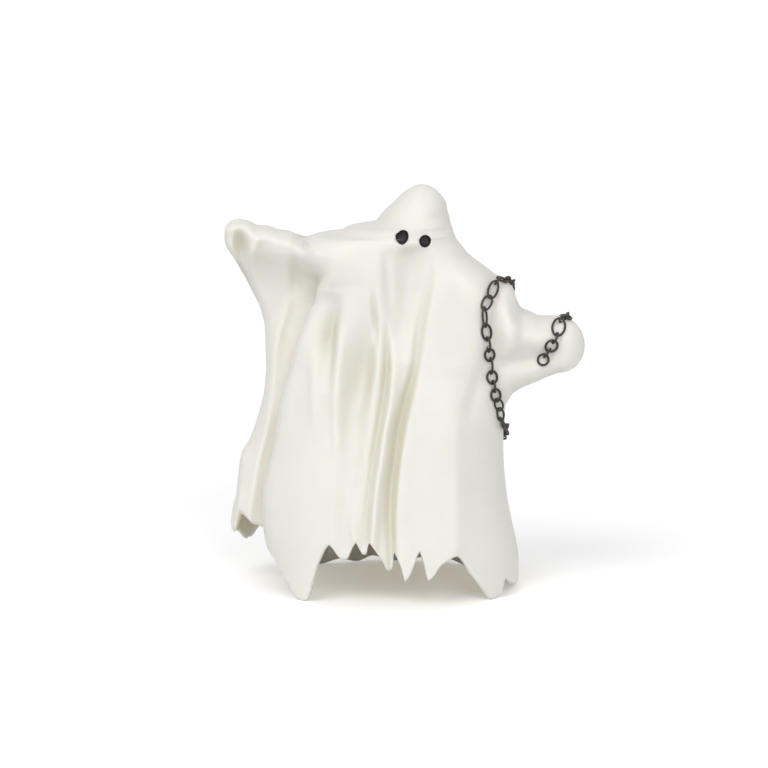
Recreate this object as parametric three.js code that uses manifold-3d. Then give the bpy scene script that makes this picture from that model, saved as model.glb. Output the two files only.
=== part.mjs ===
// A glow-in-the-dark ghost figurine, 80 mm tall: a draped sheet with two arms and a painted chain.
// Millimetres, +Z up, the face looks along -Y. The sheet is a hollow moulded shell that is open
// below and stands on the tips of its ragged hem. The arms are moulded apart and plug into it.
import * as THREE from 'three';
import { mergeVertices } from 'three/addons/utils/BufferGeometryUtils.js';
import Module from 'manifold-3d';

const wasm = await Module();
wasm.setup();

// The sheet: its height, how far below the top the head starts to close, its walls and its hollow.
// All other heights here are drawn for a top at 80.2 and a crown at 73.9, the last knots of the
// tables below, and follow the top and the crown when these are set otherwise.
const HEIGHT = 80.2;
const CROWN_DROP = 6.3;
const SHOULDER_HEIGHT = 66;
const SHEET_WALL = 2.2;
const HEM_WALL = 1.3;
const HEM_TAPER = 14;
const HOLLOW_SPRING = 54;
const HOLLOW_TOP = 67;
const SIDE_FADE = 0.35;
// Folds stand out forwards and backwards more than sideways: the share of the sideways part
const FOLD_SIDEWAYS = 0.35;
const SMALLEST_FOLDED_SIZE = 4;

// The raised arm and its hanging drape. The spread crowds its columns towards the outer edge.
const RAISED_ARM_ROOT = 7;
const RAISED_ARM_ROUNDING = 2.4;
const DRAPE_WALL = 1.7;
const DRAPE_EDGE_ROUNDING = 3.2;
const DRAPE_SPREAD = 1.6;
const DRAPE_FLARE_SPREAD = 2.4;
const DRAPE_FLARE_REACH = 2;
const DRAPE_HOLLOW_START = 0;
const DRAPE_HOLLOW_SPRING = 46;
const DRAPE_HOLLOW_TOP = 57;

// The bent arm
const BENT_ARM_ROOT_X = 14;
const BENT_ARM_CAP_X = 30.2;
const BENT_ARM_TIP_X = 35.3;
const BENT_ARM_TIP_DROP = 0.1;
const BENT_ARM_SQUARENESS = 0.75;

// Pegs that hold the arms: flat-sided ovals, so that an arm can't turn
const PEG_CLEARANCE = 0.3;
const RAISED_PEG = { width: 5, height: 3.6, from: -23, to: -14.5 };
const RAISED_PEG_DEPTH = 4.6;
const BENT_PEG = { width: 4.6, height: 7, from: 22.5, to: 14.6 };

// Eyes: plugs in two sockets, each with its own outline and its drop below the top of the head,
// named as they are seen from the front
const EYE_DEPTH = 1.5;
const EYE_CLEARANCE = 0.2;
const EYE_SINK = 0.45;
const EYE_SOCKET_REACH = 2;
const EYE_DISH_RADIUS = 2.4;
const EYE_DISH_DEPTH = 0.35;
const EYE_NOTCH_TURN = 2.2;
const EYE_NOTCH_SPREAD = 0.12;
const LEFT_EYE = { x: -0.53, drop: 9.25, width: 2.45, height: 2.6, notch: 0.16 };
const RIGHT_EYE = { x: 3.93, drop: 10.1, width: 2.2, height: 2.3, notch: 0.05 };

// The chain: its links, how high they lie over the surface, and how far round each the surface is
// felt for its highest spot
const LINK_WIRE = 0.58;
const LINK_WIDTH = 2.4;
const LINK_PLAY = 0.3;
const LINK_LIFT = 0.6;
const LINK_PROBE = 0.8;
const LINK_PROBE_ALLOWANCE = 0.45;
const PROBE_START = 120;

// The gap that is left between pieces that touch
const SEAT_GAP = 0.3;
const CUTTER_BOTTOM = -5;

// How finely the surfaces are cut
const COLUMN_STEP = 0.1;
const SKIRT_ROWS = 12;
const HEAD_ROWS = 9;
const HOLLOW_ROWS = 8;
const HOLLOW_ROW_CROWDING = 1.3;
const FOLD_RUNS = 5;
const RAISED_ARM_COLUMNS = 26;
const RAISED_ARM_ROWS = 12;
const RAISED_ARM_TOP_ROWS = 6;
const RAISED_ARM_TOP_START = 0.88;
const DRAPE_HOLLOW_COLUMNS = 18;
const DRAPE_HOLLOW_ROWS = 10;
const BENT_ARM_SIDES = 22;
const BENT_ARM_ROWS = 14;
const BENT_ARM_CAP_START = 0.72;
const PEG_CURVE_STEPS = 8;
const EYE_STEPS = 20;
const EYE_DISH_SIDES = 20;
const EYE_DISH_ROWS = 14;
const LINK_STEPS = 10;
const LINK_SIDES = 5;

// Rows over the shoulders as [share of the rows, share of the way up to the crown]
const CROWN_ROW_SHARE = 0.7;
const HEAD_ROW_RISES = [[0, 0], [0.2, 0.42], [0.55, 0.81], [CROWN_ROW_SHARE, 1]];

// Outline of the sheet: half profiles as [height, x] and [height, y]
const LEFT_SIDE = [
  [0, -27.0], [9, -27.6], [13.5, -28.1], [18.5, -28.0], [23.5, -27.0], [28.5, -25.7], [32.5, -25.1],
  [37.5, -24.4], [41.5, -23.6], [46.2, -22.2], [50.6, -20.8], [55.4, -19.0], [59.6, -17.0], [61.1, -16.8],
  [63, -17.4], [66.5, -19.3], [68.6, -19.8], [69.7, -19.1], [70.3, -17.9], [70.9, -15.5], [71.3, -13.2],
  [71.9, -11.4], [72.3, -9.3], [72.8, -7.0], [73.9, -5.0],
];
const RIGHT_SIDE = [
  [0, 22.7], [5, 22.8], [8.4, 22.1], [11.6, 21.3], [17, 20.6], [25.7, 19.7], [30, 19.6], [35, 19.9],
  [38, 19.5], [45, 18.6], [54, 18.5], [58, 19.0], [61, 18.6], [63.1, 16.9], [64.3, 15.3], [65.5, 13.7],
  [66.7, 12.3], [67.9, 11.4], [69.1, 10.4], [70.3, 9.8], [71.5, 9.4], [72.7, 9.0], [73.9, 8.8],
];
const FRONT_SIDE = [
  [0, -20.5], [10, -19.8], [20, -18.7], [30, -17.3], [40, -15.8], [46, -15.1], [52, -14.8],
  [58, -14.6], [62, -14.2], [66, -13.2], [70, -11.3], [72.3, -9.7], [73.9, -8.6],
];
const BACK_SIDE = [
  [0, 20.5], [10, 19.8], [20, 18.6], [30, 17.2], [40, 15.6], [50, 13.9], [58, 12.2], [62, 11.2],
  [66, 10.2], [70, 8.8], [72.3, 7.6], [73.9, 6.8],
];
// How square the front of the section is, as [height, squareness]: 1 is an ellipse, less is squarer
const FRONT_SQUARENESS = [
  [0, 0.85], [20, 0.8], [40, 0.72], [50, 0.68], [62, 0.68], [67, 0.74], [71, 0.85], [74, 1.0],
  [80.2, 1.0],
];
const HEAD_X = [[73.9, 1.9], [75.1, 2.3], [76.3, 2.85], [77.5, 3.15], [80.2, 3.4]];
const HEAD_Y = [[73.9, -0.9], [77, -1.4], [80.2, -2.2]];

// The ragged hem as [x, height]: the front from left to right, the back, and the right side by angle
const FRONT_HEM = [
  [-28.1, 12.3], [-27.4, 9.4], [-25.2, 6.4], [-23.3, 3.0], [-21.8, 0], [-20.6, 0], [-19.4, 0], [-18.2, 3.8],
  [-16.7, 8.0], [-14.3, 11.7], [-12.5, 8.8], [-11.6, 8.9], [-9.4, 12.3], [-8.4, 10.0], [-7.8, 10.1],
  [-6.8, 12.4], [-4.8, 9.4], [-3.4, 6.8], [-2.6, 7.0], [-2.0, 10.3], [-0.9, 8.0], [-0.2, 5.0], [0.5, 5.4],
  [2.9, 10.5], [3.4, 8.0], [3.9, 5.1], [4.8, 5.4], [7.0, 8.0], [10.2, 9.6], [12.6, 5.6], [14.6, 3.2],
  [16.4, 1.2], [18.4, 0], [19.6, 0], [20.8, 0],
];
const BACK_HEM = [
  [-24.8, 9.0], [-21.6, 4.6], [-19.6, 0], [-18.4, 0], [-17.2, 0], [-13.4, 9.2], [-9.9, 6.2], [-6.6, 10.4],
  [-2.6, 5.4], [0.4, 4.6], [4.2, 10.4], [7.4, 6.6], [9.8, 9.4], [13.0, 0], [14.2, 0], [15.4, 0],
  [19.0, 5.6], [21.0, 7.4],
];
const RIGHT_HEM = [[-17, 1.6], [-12.5, 2.8], [-6, 0], [0, 0], [6, 0], [13, 0.6], [20, 4.6]];
const HEM_REFERENCE_HEIGHT = 6;
const HEM_STRAIGHTNESS = 0.35;

// Folds of the sheet. Each starts with its width to the left and to the right, and goes on with
// points [x, height, lift], where a lift below zero is a valley.
const FRONT_FOLDS = [
  [1.2, 2.2, [-12.6, 69.5, 0], [-13.4, 65.4, 0.7], [-14.0, 63.3, 1.2], [-15.0, 61.4, 1.7],
    [-16.4, 59.5, 2.1], [-17.8, 57.2, 2.3], [-19.0, 53.7, 2.3], [-20.1, 49.8, 2.2], [-21.5, 46.0, 1.9],
    [-23.1, 40.1, 1.6], [-24.4, 34.2, 1.4], [-25.5, 28.3, 1.2], [-26.6, 22.4, 1.1], [-27.0, 16.5, 0.9],
    [-26.6, 9.0, 0.6]],
  [1.6, 0.9, [-13.4, 59.4, 0], [-13.9, 56.4, -0.9], [-14.6, 53.0, -1.9], [-14.9, 49.8, -2.0],
    [-15.0, 46.0, -1.1], [-15.0, 41.0, 0]],
  [0.9, 0.9, [-12.3, 52.4, 0], [-12.3, 49.5, 0.6], [-12.5, 45.0, 0.9], [-12.9, 39.0, 0.9],
    [-12.8, 32.0, 0.6], [-12.6, 25.0, 0]],
  [1.0, 1.0, [-17.6, 50.0, 0], [-17.6, 46.0, 0.4], [-17.6, 39.0, 0.5], [-17.4, 33.0, 0]],
  [2.6, 1.6, [-7.4, 58.0, 0], [-7.6, 53.0, -0.9], [-7.9, 47.0, -2.1], [-8.5, 42.5, -2.4],
    [-9.3, 36.0, -1.7], [-9.8, 28.0, -1.0], [-10.0, 18.0, -0.5], [-10.0, 8.0, 0]],
  [0.6, 0.6, [-6.1, 62.0, 0], [-6.0, 58.5, -0.5], [-5.7, 54.0, -0.7], [-5.6, 50.0, 0]],
  [0.8, 0.8, [-5.6, 51.0, 0], [-5.5, 46.0, 0.4], [-6.4, 40.0, 0.4], [-7.2, 35.0, 0]],
  [0.9, 0.6, [-3.7, 55.5, 0], [-3.5, 51.5, -1.0], [-3.45, 45.5, -1.4], [-4.0, 40.0, -1.1],
    [-5.0, 34.2, -0.8], [-6.0, 28.3, -0.7], [-6.7, 22.4, -0.6], [-7.4, 16.5, -0.5], [-7.8, 10.0, 0]],
  [0.8, 1.2, [-1.8, 52.0, 0], [-2.1, 46.0, 0.6], [-2.7, 40.0, 1.1], [-3.8, 34.2, 1.3],
    [-4.6, 28.3, 1.3], [-5.6, 22.4, 1.4], [-6.0, 16.5, 1.4], [-6.4, 11.4, 1.2], [-6.5, 4.0, 1.0]],
  [1.0, 0.8, [5.6, 67.0, 0], [5.1, 63.4, -0.5], [4.2, 59.5, -0.7], [3.4, 55.6, -0.8],
    [2.8, 51.8, -0.9], [2.0, 46.0, -1.1], [0.3, 40.0, -1.4], [-1.0, 34.2, -1.4], [-1.8, 28.3, -1.3],
    [-2.6, 22.4, -1.2], [-2.8, 16.5, -1.1], [-2.5, 10.0, -0.9], [-2.6, 4.0, -0.8]],
  [0.9, 3.0, [3.4, 45.0, 0], [2.2, 40.0, 0.6], [0.6, 34.2, 0.8], [-0.5, 28.3, 0.9], [-1.0, 22.4, 0.9],
    [-1.3, 16.5, 0.8], [-1.2, 11.0, 0.7], [-0.9, 3.0, 0.6]],
  [4.6, 4.6, [7.2, 48.0, 0], [6.2, 40.0, 0.6], [5.6, 33.0, 0.9], [4.8, 24.0, 0.9], [4.2, 6.0, 0.7]],
  [4.0, 5.0, [9.0, 44.0, 0], [9.2, 38.0, 0.8], [9.5, 30.0, 1.1], [9.6, 12.0, 1.1], [9.6, 3.0, 0.9]],
  [0.7, 1.6, [9.0, 42.0, 0], [9.6, 36.0, 0.25], [9.8, 28.0, 0.35], [9.8, 12.0, 0.35], [9.8, 3.0, 0.3]],
  [1.0, 1.1, [15.0, 46.5, 0], [14.0, 42.8, -0.8], [13.3, 40.0, -1.1], [12.7, 37.5, -1.0],
    [12.2, 33.5, 0]],
  [2.8, 1.8, [12.4, 65.0, 0], [14.2, 61.0, 0.8], [14.9, 57.0, 1.1], [14.6, 52.0, 1.1],
    [13.8, 47.0, 0.7], [13.4, 42.0, 0]],
  [2.6, 2.6, [7.4, 67.5, 0], [7.8, 64.0, -0.9], [8.4, 58.0, -1.1], [8.6, 52.0, -0.8], [9.5, 46.0, 0]],
  [0.8, 6.5, [1.0, 68.6, 0], [0.9, 67.0, -0.9], [0.7, 65.2, -1.6], [0.3, 62.0, -1.8],
    [-0.1, 58.5, -1.4], [-0.6, 54.0, -0.8], [-1.2, 49.0, 0]],
  [0.7, 0.7, [-3.5, 69.0, 0], [-3.5, 66.0, -0.7], [-3.2, 60.0, -0.8], [-3.0, 55.5, 0]],
  [1.1, 1.1, [-2.8, 68.2, 0], [-0.2, 69.3, 0.4], [2.6, 69.5, 0.5], [5.0, 69.1, 0.4], [6.8, 67.6, 0]],
  [1.4, 1.4, [-2.4, 72.6, 0], [0.4, 72.1, -0.4], [3.0, 71.7, -0.45], [5.6, 71.0, 0]],
  [3.0, 3.0, [2.0, 75.8, 0.35], [4.0, 75.6, 0.35]],
  [0.7, 0.8, [-10.0, 20.0, 0], [-9.9, 16.0, 0.5], [-9.7, 12.0, 0.6], [-9.6, 6.0, 0.4]],
  [1.0, 1.0, [-12.2, 26.0, 0], [-12.2, 20.0, -0.35], [-12.4, 12.0, -0.4], [-12.4, 6.0, 0]],
];
const BACK_FOLDS = [
  [2.6, 3.4, [-5.5, 66.0, 0], [-7.0, 52.0, 0.9], [-10.0, 36.0, 1.3], [-14.0, 18.0, 1.5], [-17.4, 2.0, 1.3]],
  [1.6, 1.8, [-3.2, 62.0, 0], [-4.6, 48.0, -1.0], [-7.0, 32.0, -1.1], [-11.0, 12.0, -1.2],
    [-12.6, 4.0, -1.0]],
  [2.4, 1.8, [-0.6, 68.0, 0], [-1.4, 54.0, 0.9], [-2.4, 36.0, 1.3], [-5.0, 18.0, 1.2], [-6.0, 2.0, 1.0]],
  [1.5, 1.7, [2.0, 60.0, 0], [1.6, 44.0, -1.1], [0.6, 26.0, -1.2], [-1.0, 8.0, -1.0]],
  [2.2, 3.0, [4.0, 69.0, 0], [4.8, 54.0, 0.9], [5.4, 38.0, 1.4], [6.4, 20.0, 1.5], [7.0, 3.0, 1.3]],
  [1.5, 1.5, [8.6, 56.0, 0], [9.8, 40.0, -1.1], [11.0, 22.0, -1.2], [11.2, 6.0, -0.9]],
  [2.4, 2.4, [10.0, 62.0, 0], [12.6, 46.0, 0.8], [14.4, 26.0, 1.2], [15.6, 4.0, 1.1]],
  [1.6, 1.6, [-10.8, 60.0, 0], [-14.4, 44.0, -0.9], [-18.4, 24.0, -1.1], [-20.8, 6.0, -0.8]],
  [2.0, 2.0, [-14.0, 56.0, 0], [-18.4, 40.0, 0.7], [-22.4, 20.0, 0.9], [-24.0, 6.0, 0.7]],
];

// The raised arm: its outer edge as [height, x], its top and two hems as [x, height], and its
// half thickness and middle plane as [height, y]
const DRAPE_EDGE = [
  [8, -34.6], [11, -34.6], [15.0, -33.5], [18.6, -32.9], [21, -32.5], [25.8, -30.8], [30.6, -29.4],
  [35.4, -28.3], [38, -27.8], [42.6, -27.4], [49.9, -27.5], [52.3, -27.6], [54.7, -28.1],
  [57.1, -28.9], [59.5, -30.1], [61.9, -31.2], [64.3, -32.8], [66.7, -34.3], [69.1, -35.2],
  [71.2, -35.2], [72.4, -34.6], [73.2, -33.4], [73.5, -32.4],
];
const RAISED_ARM_TOP = [
  [-32.4, 73.5], [-30.5, 73.1], [-28.9, 72.5], [-27.4, 72.3], [-25.8, 72.1], [-24.2, 71.5], [-22.6, 71.3],
  [-21.0, 70.7], [-19.5, 69.9], [-17.9, 69.9], [-10, 69.9],
];
const DRAPE_FRONT_HEM = [
  [-34.6, 8.6], [-34.0, 8.6], [-32.9, 13.0], [-30.5, 12.6], [-28.2, 11.3], [-25, 10], [-10, 9],
];
const DRAPE_BACK_HEM = [
  [-34.6, 8.6], [-33.6, 11.0], [-32.4, 7.8], [-31.2, 6.4], [-30.0, 8.0], [-28.4, 9.6], [-25.5, 5.0],
  [-24, 4.6], [-21, 9], [-10, 8],
];
const DRAPE_HALF = [[5, 6.2], [15, 5.8], [30, 4.6], [45, 3.6], [58, 3.1], [64, 3.5], [68, 4.4], [74, 4.4]];
const DRAPE_MIDDLE = [
  [5, 5.2], [15, 4.6], [30, 3.6], [45, 2.4], [58, 1.3], [64, 0.1], [68, -0.8], [74, -1.6],
];
// How far the arm's front widens towards its root, as [height, y]
const DRAPE_FLARE = [[5, 0.3], [45, 0.3], [56, 0.5], [61, 2.0], [65, 4.0], [70, 4.5]];
const DRAPE_FRONT_FOLDS = [
  [1.4, 1.4, [-32.4, 72.4, 0], [-32.4, 70.6, -1.6], [-32.2, 68.0, -2.2], [-31.8, 65.0, -1.2],
    [-31.2, 62.0, 0]],
  [1.0, 1.0, [-27.9, 72.0, 0], [-28.6, 70.2, 0.6], [-29.6, 67.6, 0.8], [-30.2, 65.0, 0.7],
    [-30.4, 61.0, 0]],
  [0.8, 1.6, [-27.6, 70.6, 0], [-27.4, 68.0, -0.8], [-27.3, 64.0, -0.8], [-27.0, 58.0, 0]],
  [1.2, 1.2, [-21.3, 69.0, 0], [-21.1, 66.0, -0.9], [-21.1, 62.0, -1.1], [-21.0, 58.0, 0]],
  [1.1, 1.1, [-22.6, 59.0, 0], [-23.4, 55.0, 0.6], [-25.2, 49.0, 0.8], [-26.2, 42.0, 0.9],
    [-27.2, 33.0, 1.0], [-28.9, 25.0, 1.0], [-30.4, 16.0, 0.8], [-31.0, 10.0, 0.5]],
];
const DRAPE_BACK_FOLDS = [
  [1.4, 1.4, [-30.4, 71.0, 0], [-28.4, 62.0, 0.8], [-27.4, 50.0, 0.9], [-29.0, 36.0, 0.9],
    [-31.2, 14.0, 0.9]],
  [1.6, 1.6, [-25.0, 70.0, 0], [-23.4, 56.0, -0.8], [-25.0, 36.0, -0.9], [-27.4, 14.0, -0.8]],
];

// The bent arm: top and underside as [x, height], half depth and middle plane as [x, y]
const BENT_ARM_TOP = [
  [14, 62.5], [18, 62.0], [20, 61.2], [21.3, 59.8], [22.2, 57.2], [23.0, 55.9], [24.8, 55.2], [26.4, 54.5],
  [28.2, 54.5], [31.1, 54.4],
];
const BENT_ARM_UNDERSIDE = [
  [14, 35], [20.3, 38.1], [21.2, 39.2], [23.2, 40.5], [25.8, 41.6], [27.7, 42.5], [29.7, 43.3],
  [31.1, 43.8],
];
const BENT_ARM_HALF = [[14, 8.2], [20, 7.6], [24, 6.6], [28, 5.7], [31.1, 5.1]];
const BENT_ARM_MIDDLE = [[14, -2.6], [20, -3.4], [26, -3.9], [35.3, -4.8]];
const BENT_ARM_FRONT_FOLDS = [
  [2.2, 2.2, [18.8, 61.0, 0.6], [19.2, 57.0, 1.4], [19.8, 53.0, 1.5], [20.6, 50.0, 1.2], [21.4, 48.0, 0]],
  [2.5, 2.5, [22.4, 52.8, 0.9], [24.6, 52.2, 1.3], [27.0, 51.4, 1.1], [29.5, 50.6, 0]],
  [0.9, 0.9, [20.3, 60.0, 0], [20.9, 58.2, -0.9], [21.7, 55.8, -0.9], [22.3, 53.8, 0]],
  [1.6, 1.6, [17.0, 45.0, 0], [20.0, 46.0, -0.8], [24.0, 46.8, -1.0], [28.0, 47.6, -0.7], [30.5, 48.2, 0]],
];
const BENT_ARM_BACK_FOLDS = [
  [2.2, 2.2, [17.6, 60.0, 0.4], [18.6, 54.0, 1.0], [20.6, 48.0, 1.0], [23.6, 43.4, 0.4]],
  [1.6, 1.6, [20.8, 55.0, 0], [23.6, 53.0, -0.8], [27.0, 50.4, -0.8], [29.6, 48.4, 0]],
];

// The chain's route from its open end on the wrist, round behind the arm, over the shoulder and
// round the hip: the points where its links hook into each other, each with the roll in degrees of
// the link that starts there, where 0 lies flat and 90 stands on edge. F is seen from the front and
// B from behind, as [x, height]; T is seen from above, as [x, y], and R from the right, as
// [y, height].
const CHAIN_ROUTE = [
  ['F', 26.6, 45.4, -20], ['F', 27.7, 47.5, 70], ['F', 28.4, 49.0, 0], ['F', 29.4, 50.8, 90],
  ['F', 30.2, 52.2, 0], ['F', 30.8, 53.5, 88], ['T', 31.3, -6.3, 0], ['T', 31.8, -4.0, 90],
  ['T', 31.6, -1.5, 0], ['B', 30.9, 52.5, 90], ['B', 29.4, 50.3, 0], ['B', 27.7, 48.5, 90],
  ['B', 25.5, 47.4, 0], ['B', 23.2, 47.5, 90], ['B', 21.4, 48.9, 0], ['B', 20.4, 51.2, 90],
  ['B', 20.1, 53.7, 0], ['B', 20.2, 56.2, 90], ['B', 20.4, 58.2, 0], ['T', 21.1, 0.8, 90],
  ['T', 21.0, -1.5, 0], ['T', 20.3, -3.6, 90], ['T', 19.5, -5.6, 5], ['T', 18.7, -7.6, 90],
  ['T', 18.0, -9.5, 5], ['F', 17.1, 58.9, 90], ['F', 15.9, 57.4, 42], ['F', 15.2, 55.7, -42],
  ['F', 15.6, 53.1, 38], ['F', 16.1, 50.2, 108], ['F', 16.3, 48.4, 12], ['F', 16.5, 46.2, 92],
  ['F', 16.7, 44.1, 0], ['F', 17.1, 41.9, 90], ['F', 17.3, 40.3, -15], ['F', 17.5, 38.2, 55],
  ['F', 17.9, 36.3, -40], ['F', 18.5, 34.4, 50], ['R', -7.3, 33.7, -45], ['R', -4.9, 32.8, 40],
  ['R', -2.6, 31.7, -50], ['R', -0.3, 30.5, 35], ['R', 2.1, 29.5, -55], ['R', 4.5, 28.6, 35],
  ['R', 6.9, 27.8],
];

// A smooth function through [t, value] knots that never overshoots them
function curve(knots) {
  const slopes = knots.slice(1).map((k, i) => (k[1] - knots[i][1]) / (k[0] - knots[i][0]));
  const tangents = knots.map((k, i) => {
    if (i === 0) return slopes[0];
    if (i === knots.length - 1) return slopes[i - 1];
    if (slopes[i - 1] * slopes[i] <= 0) return 0;
    const before = k[0] - knots[i - 1][0];
    const after = knots[i + 1][0] - k[0];
    const w1 = 2 * after + before;
    const w2 = after + 2 * before;
    return (w1 + w2) / (w1 / slopes[i - 1] + w2 / slopes[i]);
  });
  return (t) => {
    if (t <= knots[0][0]) return knots[0][1];
    if (t >= knots.at(-1)[0]) return knots.at(-1)[1];
    let i = 0;
    while (t > knots[i + 1][0]) i += 1;
    const h = knots[i + 1][0] - knots[i][0];
    const u = (t - knots[i][0]) / h;
    const rise = u * u * (3 - 2 * u);
    return knots[i][1] * (1 - rise) + knots[i + 1][1] * rise
      + h * (tangents[i] * u * (1 - u) ** 2 - tangents[i + 1] * u * u * (1 - u));
  };
}

// Drawn heights of the top and the crown, and the height at which a drawn height is built
const TOP = HEAD_X.at(-1)[0];
const CROWN = LEFT_SIDE.at(-1)[0];
const builtHeight = curve([[0, 0], [CROWN, HEIGHT - CROWN_DROP], [TOP, HEIGHT]]);

const leftSide = curve(LEFT_SIDE);
const rightSide = curve(RIGHT_SIDE);
const frontSide = curve(FRONT_SIDE);
const backSide = curve(BACK_SIDE);
const frontSquareness = curve(FRONT_SQUARENESS);
const headX = curve(HEAD_X);
const headY = curve(HEAD_Y);

// The sheet's plain section at a height: an ellipse with its centre and half sizes
function section(z) {
  const low = Math.min(z, CROWN);
  const a = (rightSide(low) - leftSide(low)) / 2;
  const b = (backSide(low) - frontSide(low)) / 2;
  if (z <= CROWN) {
    return { x: leftSide(z) + a, y: frontSide(z) + b, a, b };
  }
  const shrink = Math.sqrt(Math.max(0, TOP - z) / (TOP - CROWN));
  return { x: headX(z), y: headY(z), a: a * shrink, b: b * shrink };
}

// A fold as a smooth path that carries its lift, with its widths on both sides
function foldPath([left, right, ...points]) {
  const vectors = points.map(([x, z, lift]) => new THREE.Vector3(x, z, lift));
  const spline = new THREE.CatmullRomCurve3(vectors, false, 'catmullrom', 0.5);
  return { left, right, points: spline.getPoints(FOLD_RUNS * (points.length - 1)) };
}

// How far one fold lifts the surface at (x, z): its nearest point gives the lift
function foldLift(fold, x, z) {
  let nearest = Infinity;
  let lift = 0;
  let side = 0;
  for (let i = 1; i < fold.points.length; i += 1) {
    const from = fold.points[i - 1];
    const dx = fold.points[i].x - from.x;
    const dz = fold.points[i].y - from.y;
    const along = ((x - from.x) * dx + (z - from.y) * dz) / (dx * dx + dz * dz);
    const t = THREE.MathUtils.clamp(along, 0, 1);
    const ex = x - from.x - t * dx;
    const ez = z - from.y - t * dz;
    const distance = ex * ex + ez * ez;
    if (distance < nearest) {
      nearest = distance;
      lift = from.z + t * (fold.points[i].z - from.z);
      side = (ex * dz - ez * dx) * Math.sign(dz);
    }
  }
  const width = side < 0 ? fold.left : fold.right;
  return lift * Math.exp(-nearest / width ** 2);
}

const frontFolds = FRONT_FOLDS.map(foldPath);
const backFolds = BACK_FOLDS.map(foldPath);
const sumFolds = (folds, x, z) => folds.reduce((sum, fold) => sum + foldLift(fold, x, z), 0);

// A point of the sheet's section of size one at an angle, squarer in front, and its unit normal
// when the section is stretched to its half sizes a and b
function sectionPoint(angle, z, a, b) {
  const power = 2 / (Math.sin(angle) < 0 ? frontSquareness(z) : 1);
  const x = Math.cos(angle);
  const y = Math.sign(Math.sin(angle)) * Math.max(0, 1 - Math.abs(x) ** power) ** (1 / power);
  const steep = (value) => Math.sign(value) * Math.abs(value) ** (power - 1);
  return { x, y, normal: new THREE.Vector2(b * steep(x), a * steep(y)).normalize() };
}

// The built point of the sheet's surface at an angle and a drawn height, moved out by grow
function sheetPoint(angle, z, grow = 0) {
  const { x: cx, y: cy, a, b } = section(z);
  const { x, y, normal } = sectionPoint(angle, z, a, b);
  const s = Math.sin(angle);
  const fade = THREE.MathUtils.smoothstep(Math.abs(s), 0, SIDE_FADE);
  const room = Math.min(1, Math.min(a, b) / SMALLEST_FOLDED_SIZE);
  const lift = fade === 0 ? 0 : sumFolds(s < 0 ? frontFolds : backFolds, cx + a * x, z) * fade * room;
  const foldNormal = new THREE.Vector2(normal.x * FOLD_SIDEWAYS, normal.y).normalize();
  return new THREE.Vector3(
    cx + a * x + lift * foldNormal.x + grow * normal.x,
    cy + b * y + lift * foldNormal.y + grow * normal.y,
    builtHeight(z),
  );
}

// The hem's knots by angle, and its height between them
function hemKnots() {
  const { x: cx, a } = section(HEM_REFERENCE_HEIGHT);
  const angle = (x) => Math.acos(THREE.MathUtils.clamp((x - cx) / a, -1, 1));
  const knots = [
    ...FRONT_HEM.map(([x, z]) => [-angle(x), z]),
    ...BACK_HEM.map(([x, z]) => [angle(x), z]),
    ...RIGHT_HEM.map(([degrees, z]) => [THREE.MathUtils.degToRad(degrees), z]),
  ];
  return knots.sort((p, q) => p[0] - q[0]);
}
const HEM = hemKnots();
const HEM_ROUND = [
  [HEM.at(-1)[0] - 2 * Math.PI, HEM.at(-1)[1]],
  ...HEM,
  [HEM[0][0] + 2 * Math.PI, HEM[0][1]],
];
const hemCurve = curve(HEM_ROUND);
function hemHeight(angle) {
  const i = Math.max(1, HEM_ROUND.findIndex((knot) => knot[0] >= angle));
  const [from, to] = [HEM_ROUND[i - 1], HEM_ROUND[i]];
  const straight = THREE.MathUtils.mapLinear(angle, from[0], to[0], from[1], to[1]);
  return THREE.MathUtils.lerp(hemCurve(angle), straight, HEM_STRAIGHTNESS);
}

// The angles of the sheet's columns: one on each knot of the hem, and more between them
function columnAngles() {
  const angles = [];
  HEM_ROUND.slice(1, -1).forEach(([angle], i) => {
    const from = HEM_ROUND[i][0];
    const count = Math.ceil((angle - from) / COLUMN_STEP);
    for (let k = 1; k <= count; k += 1) angles.push(from + ((angle - from) * k) / count);
  });
  return angles;
}

const COLUMNS = columnAngles();

// Heights of the rows over the shoulders, closer together where the outline turns fast
const headRow = curve(HEAD_ROW_RISES);
function headHeights() {
  return Array.from({ length: HEAD_ROWS }, (_, i) => {
    const share = i / HEAD_ROWS;
    if (share < CROWN_ROW_SHARE) return THREE.MathUtils.lerp(SHOULDER_HEIGHT, CROWN, headRow(share));
    const left = (1 - share) / (1 - CROWN_ROW_SHARE);
    return TOP - (TOP - CROWN) * left ** 2;
  });
}

// The outer loops of the sheet from the hem up, ending in the top point
function sheetLoops(grow) {
  const loops = [];
  for (let i = 0; i < SKIRT_ROWS; i += 1) {
    const share = i / SKIRT_ROWS;
    const row = (angle) => THREE.MathUtils.lerp(hemHeight(angle), SHOULDER_HEIGHT, share);
    loops.push(COLUMNS.map((angle) => sheetPoint(angle, row(angle), grow)));
  }
  headHeights().forEach((z) => loops.push(COLUMNS.map((angle) => sheetPoint(angle, z, grow))));
  loops.push([new THREE.Vector3(headX(TOP), headY(TOP), HEIGHT + grow)]);
  return loops;
}

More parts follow.
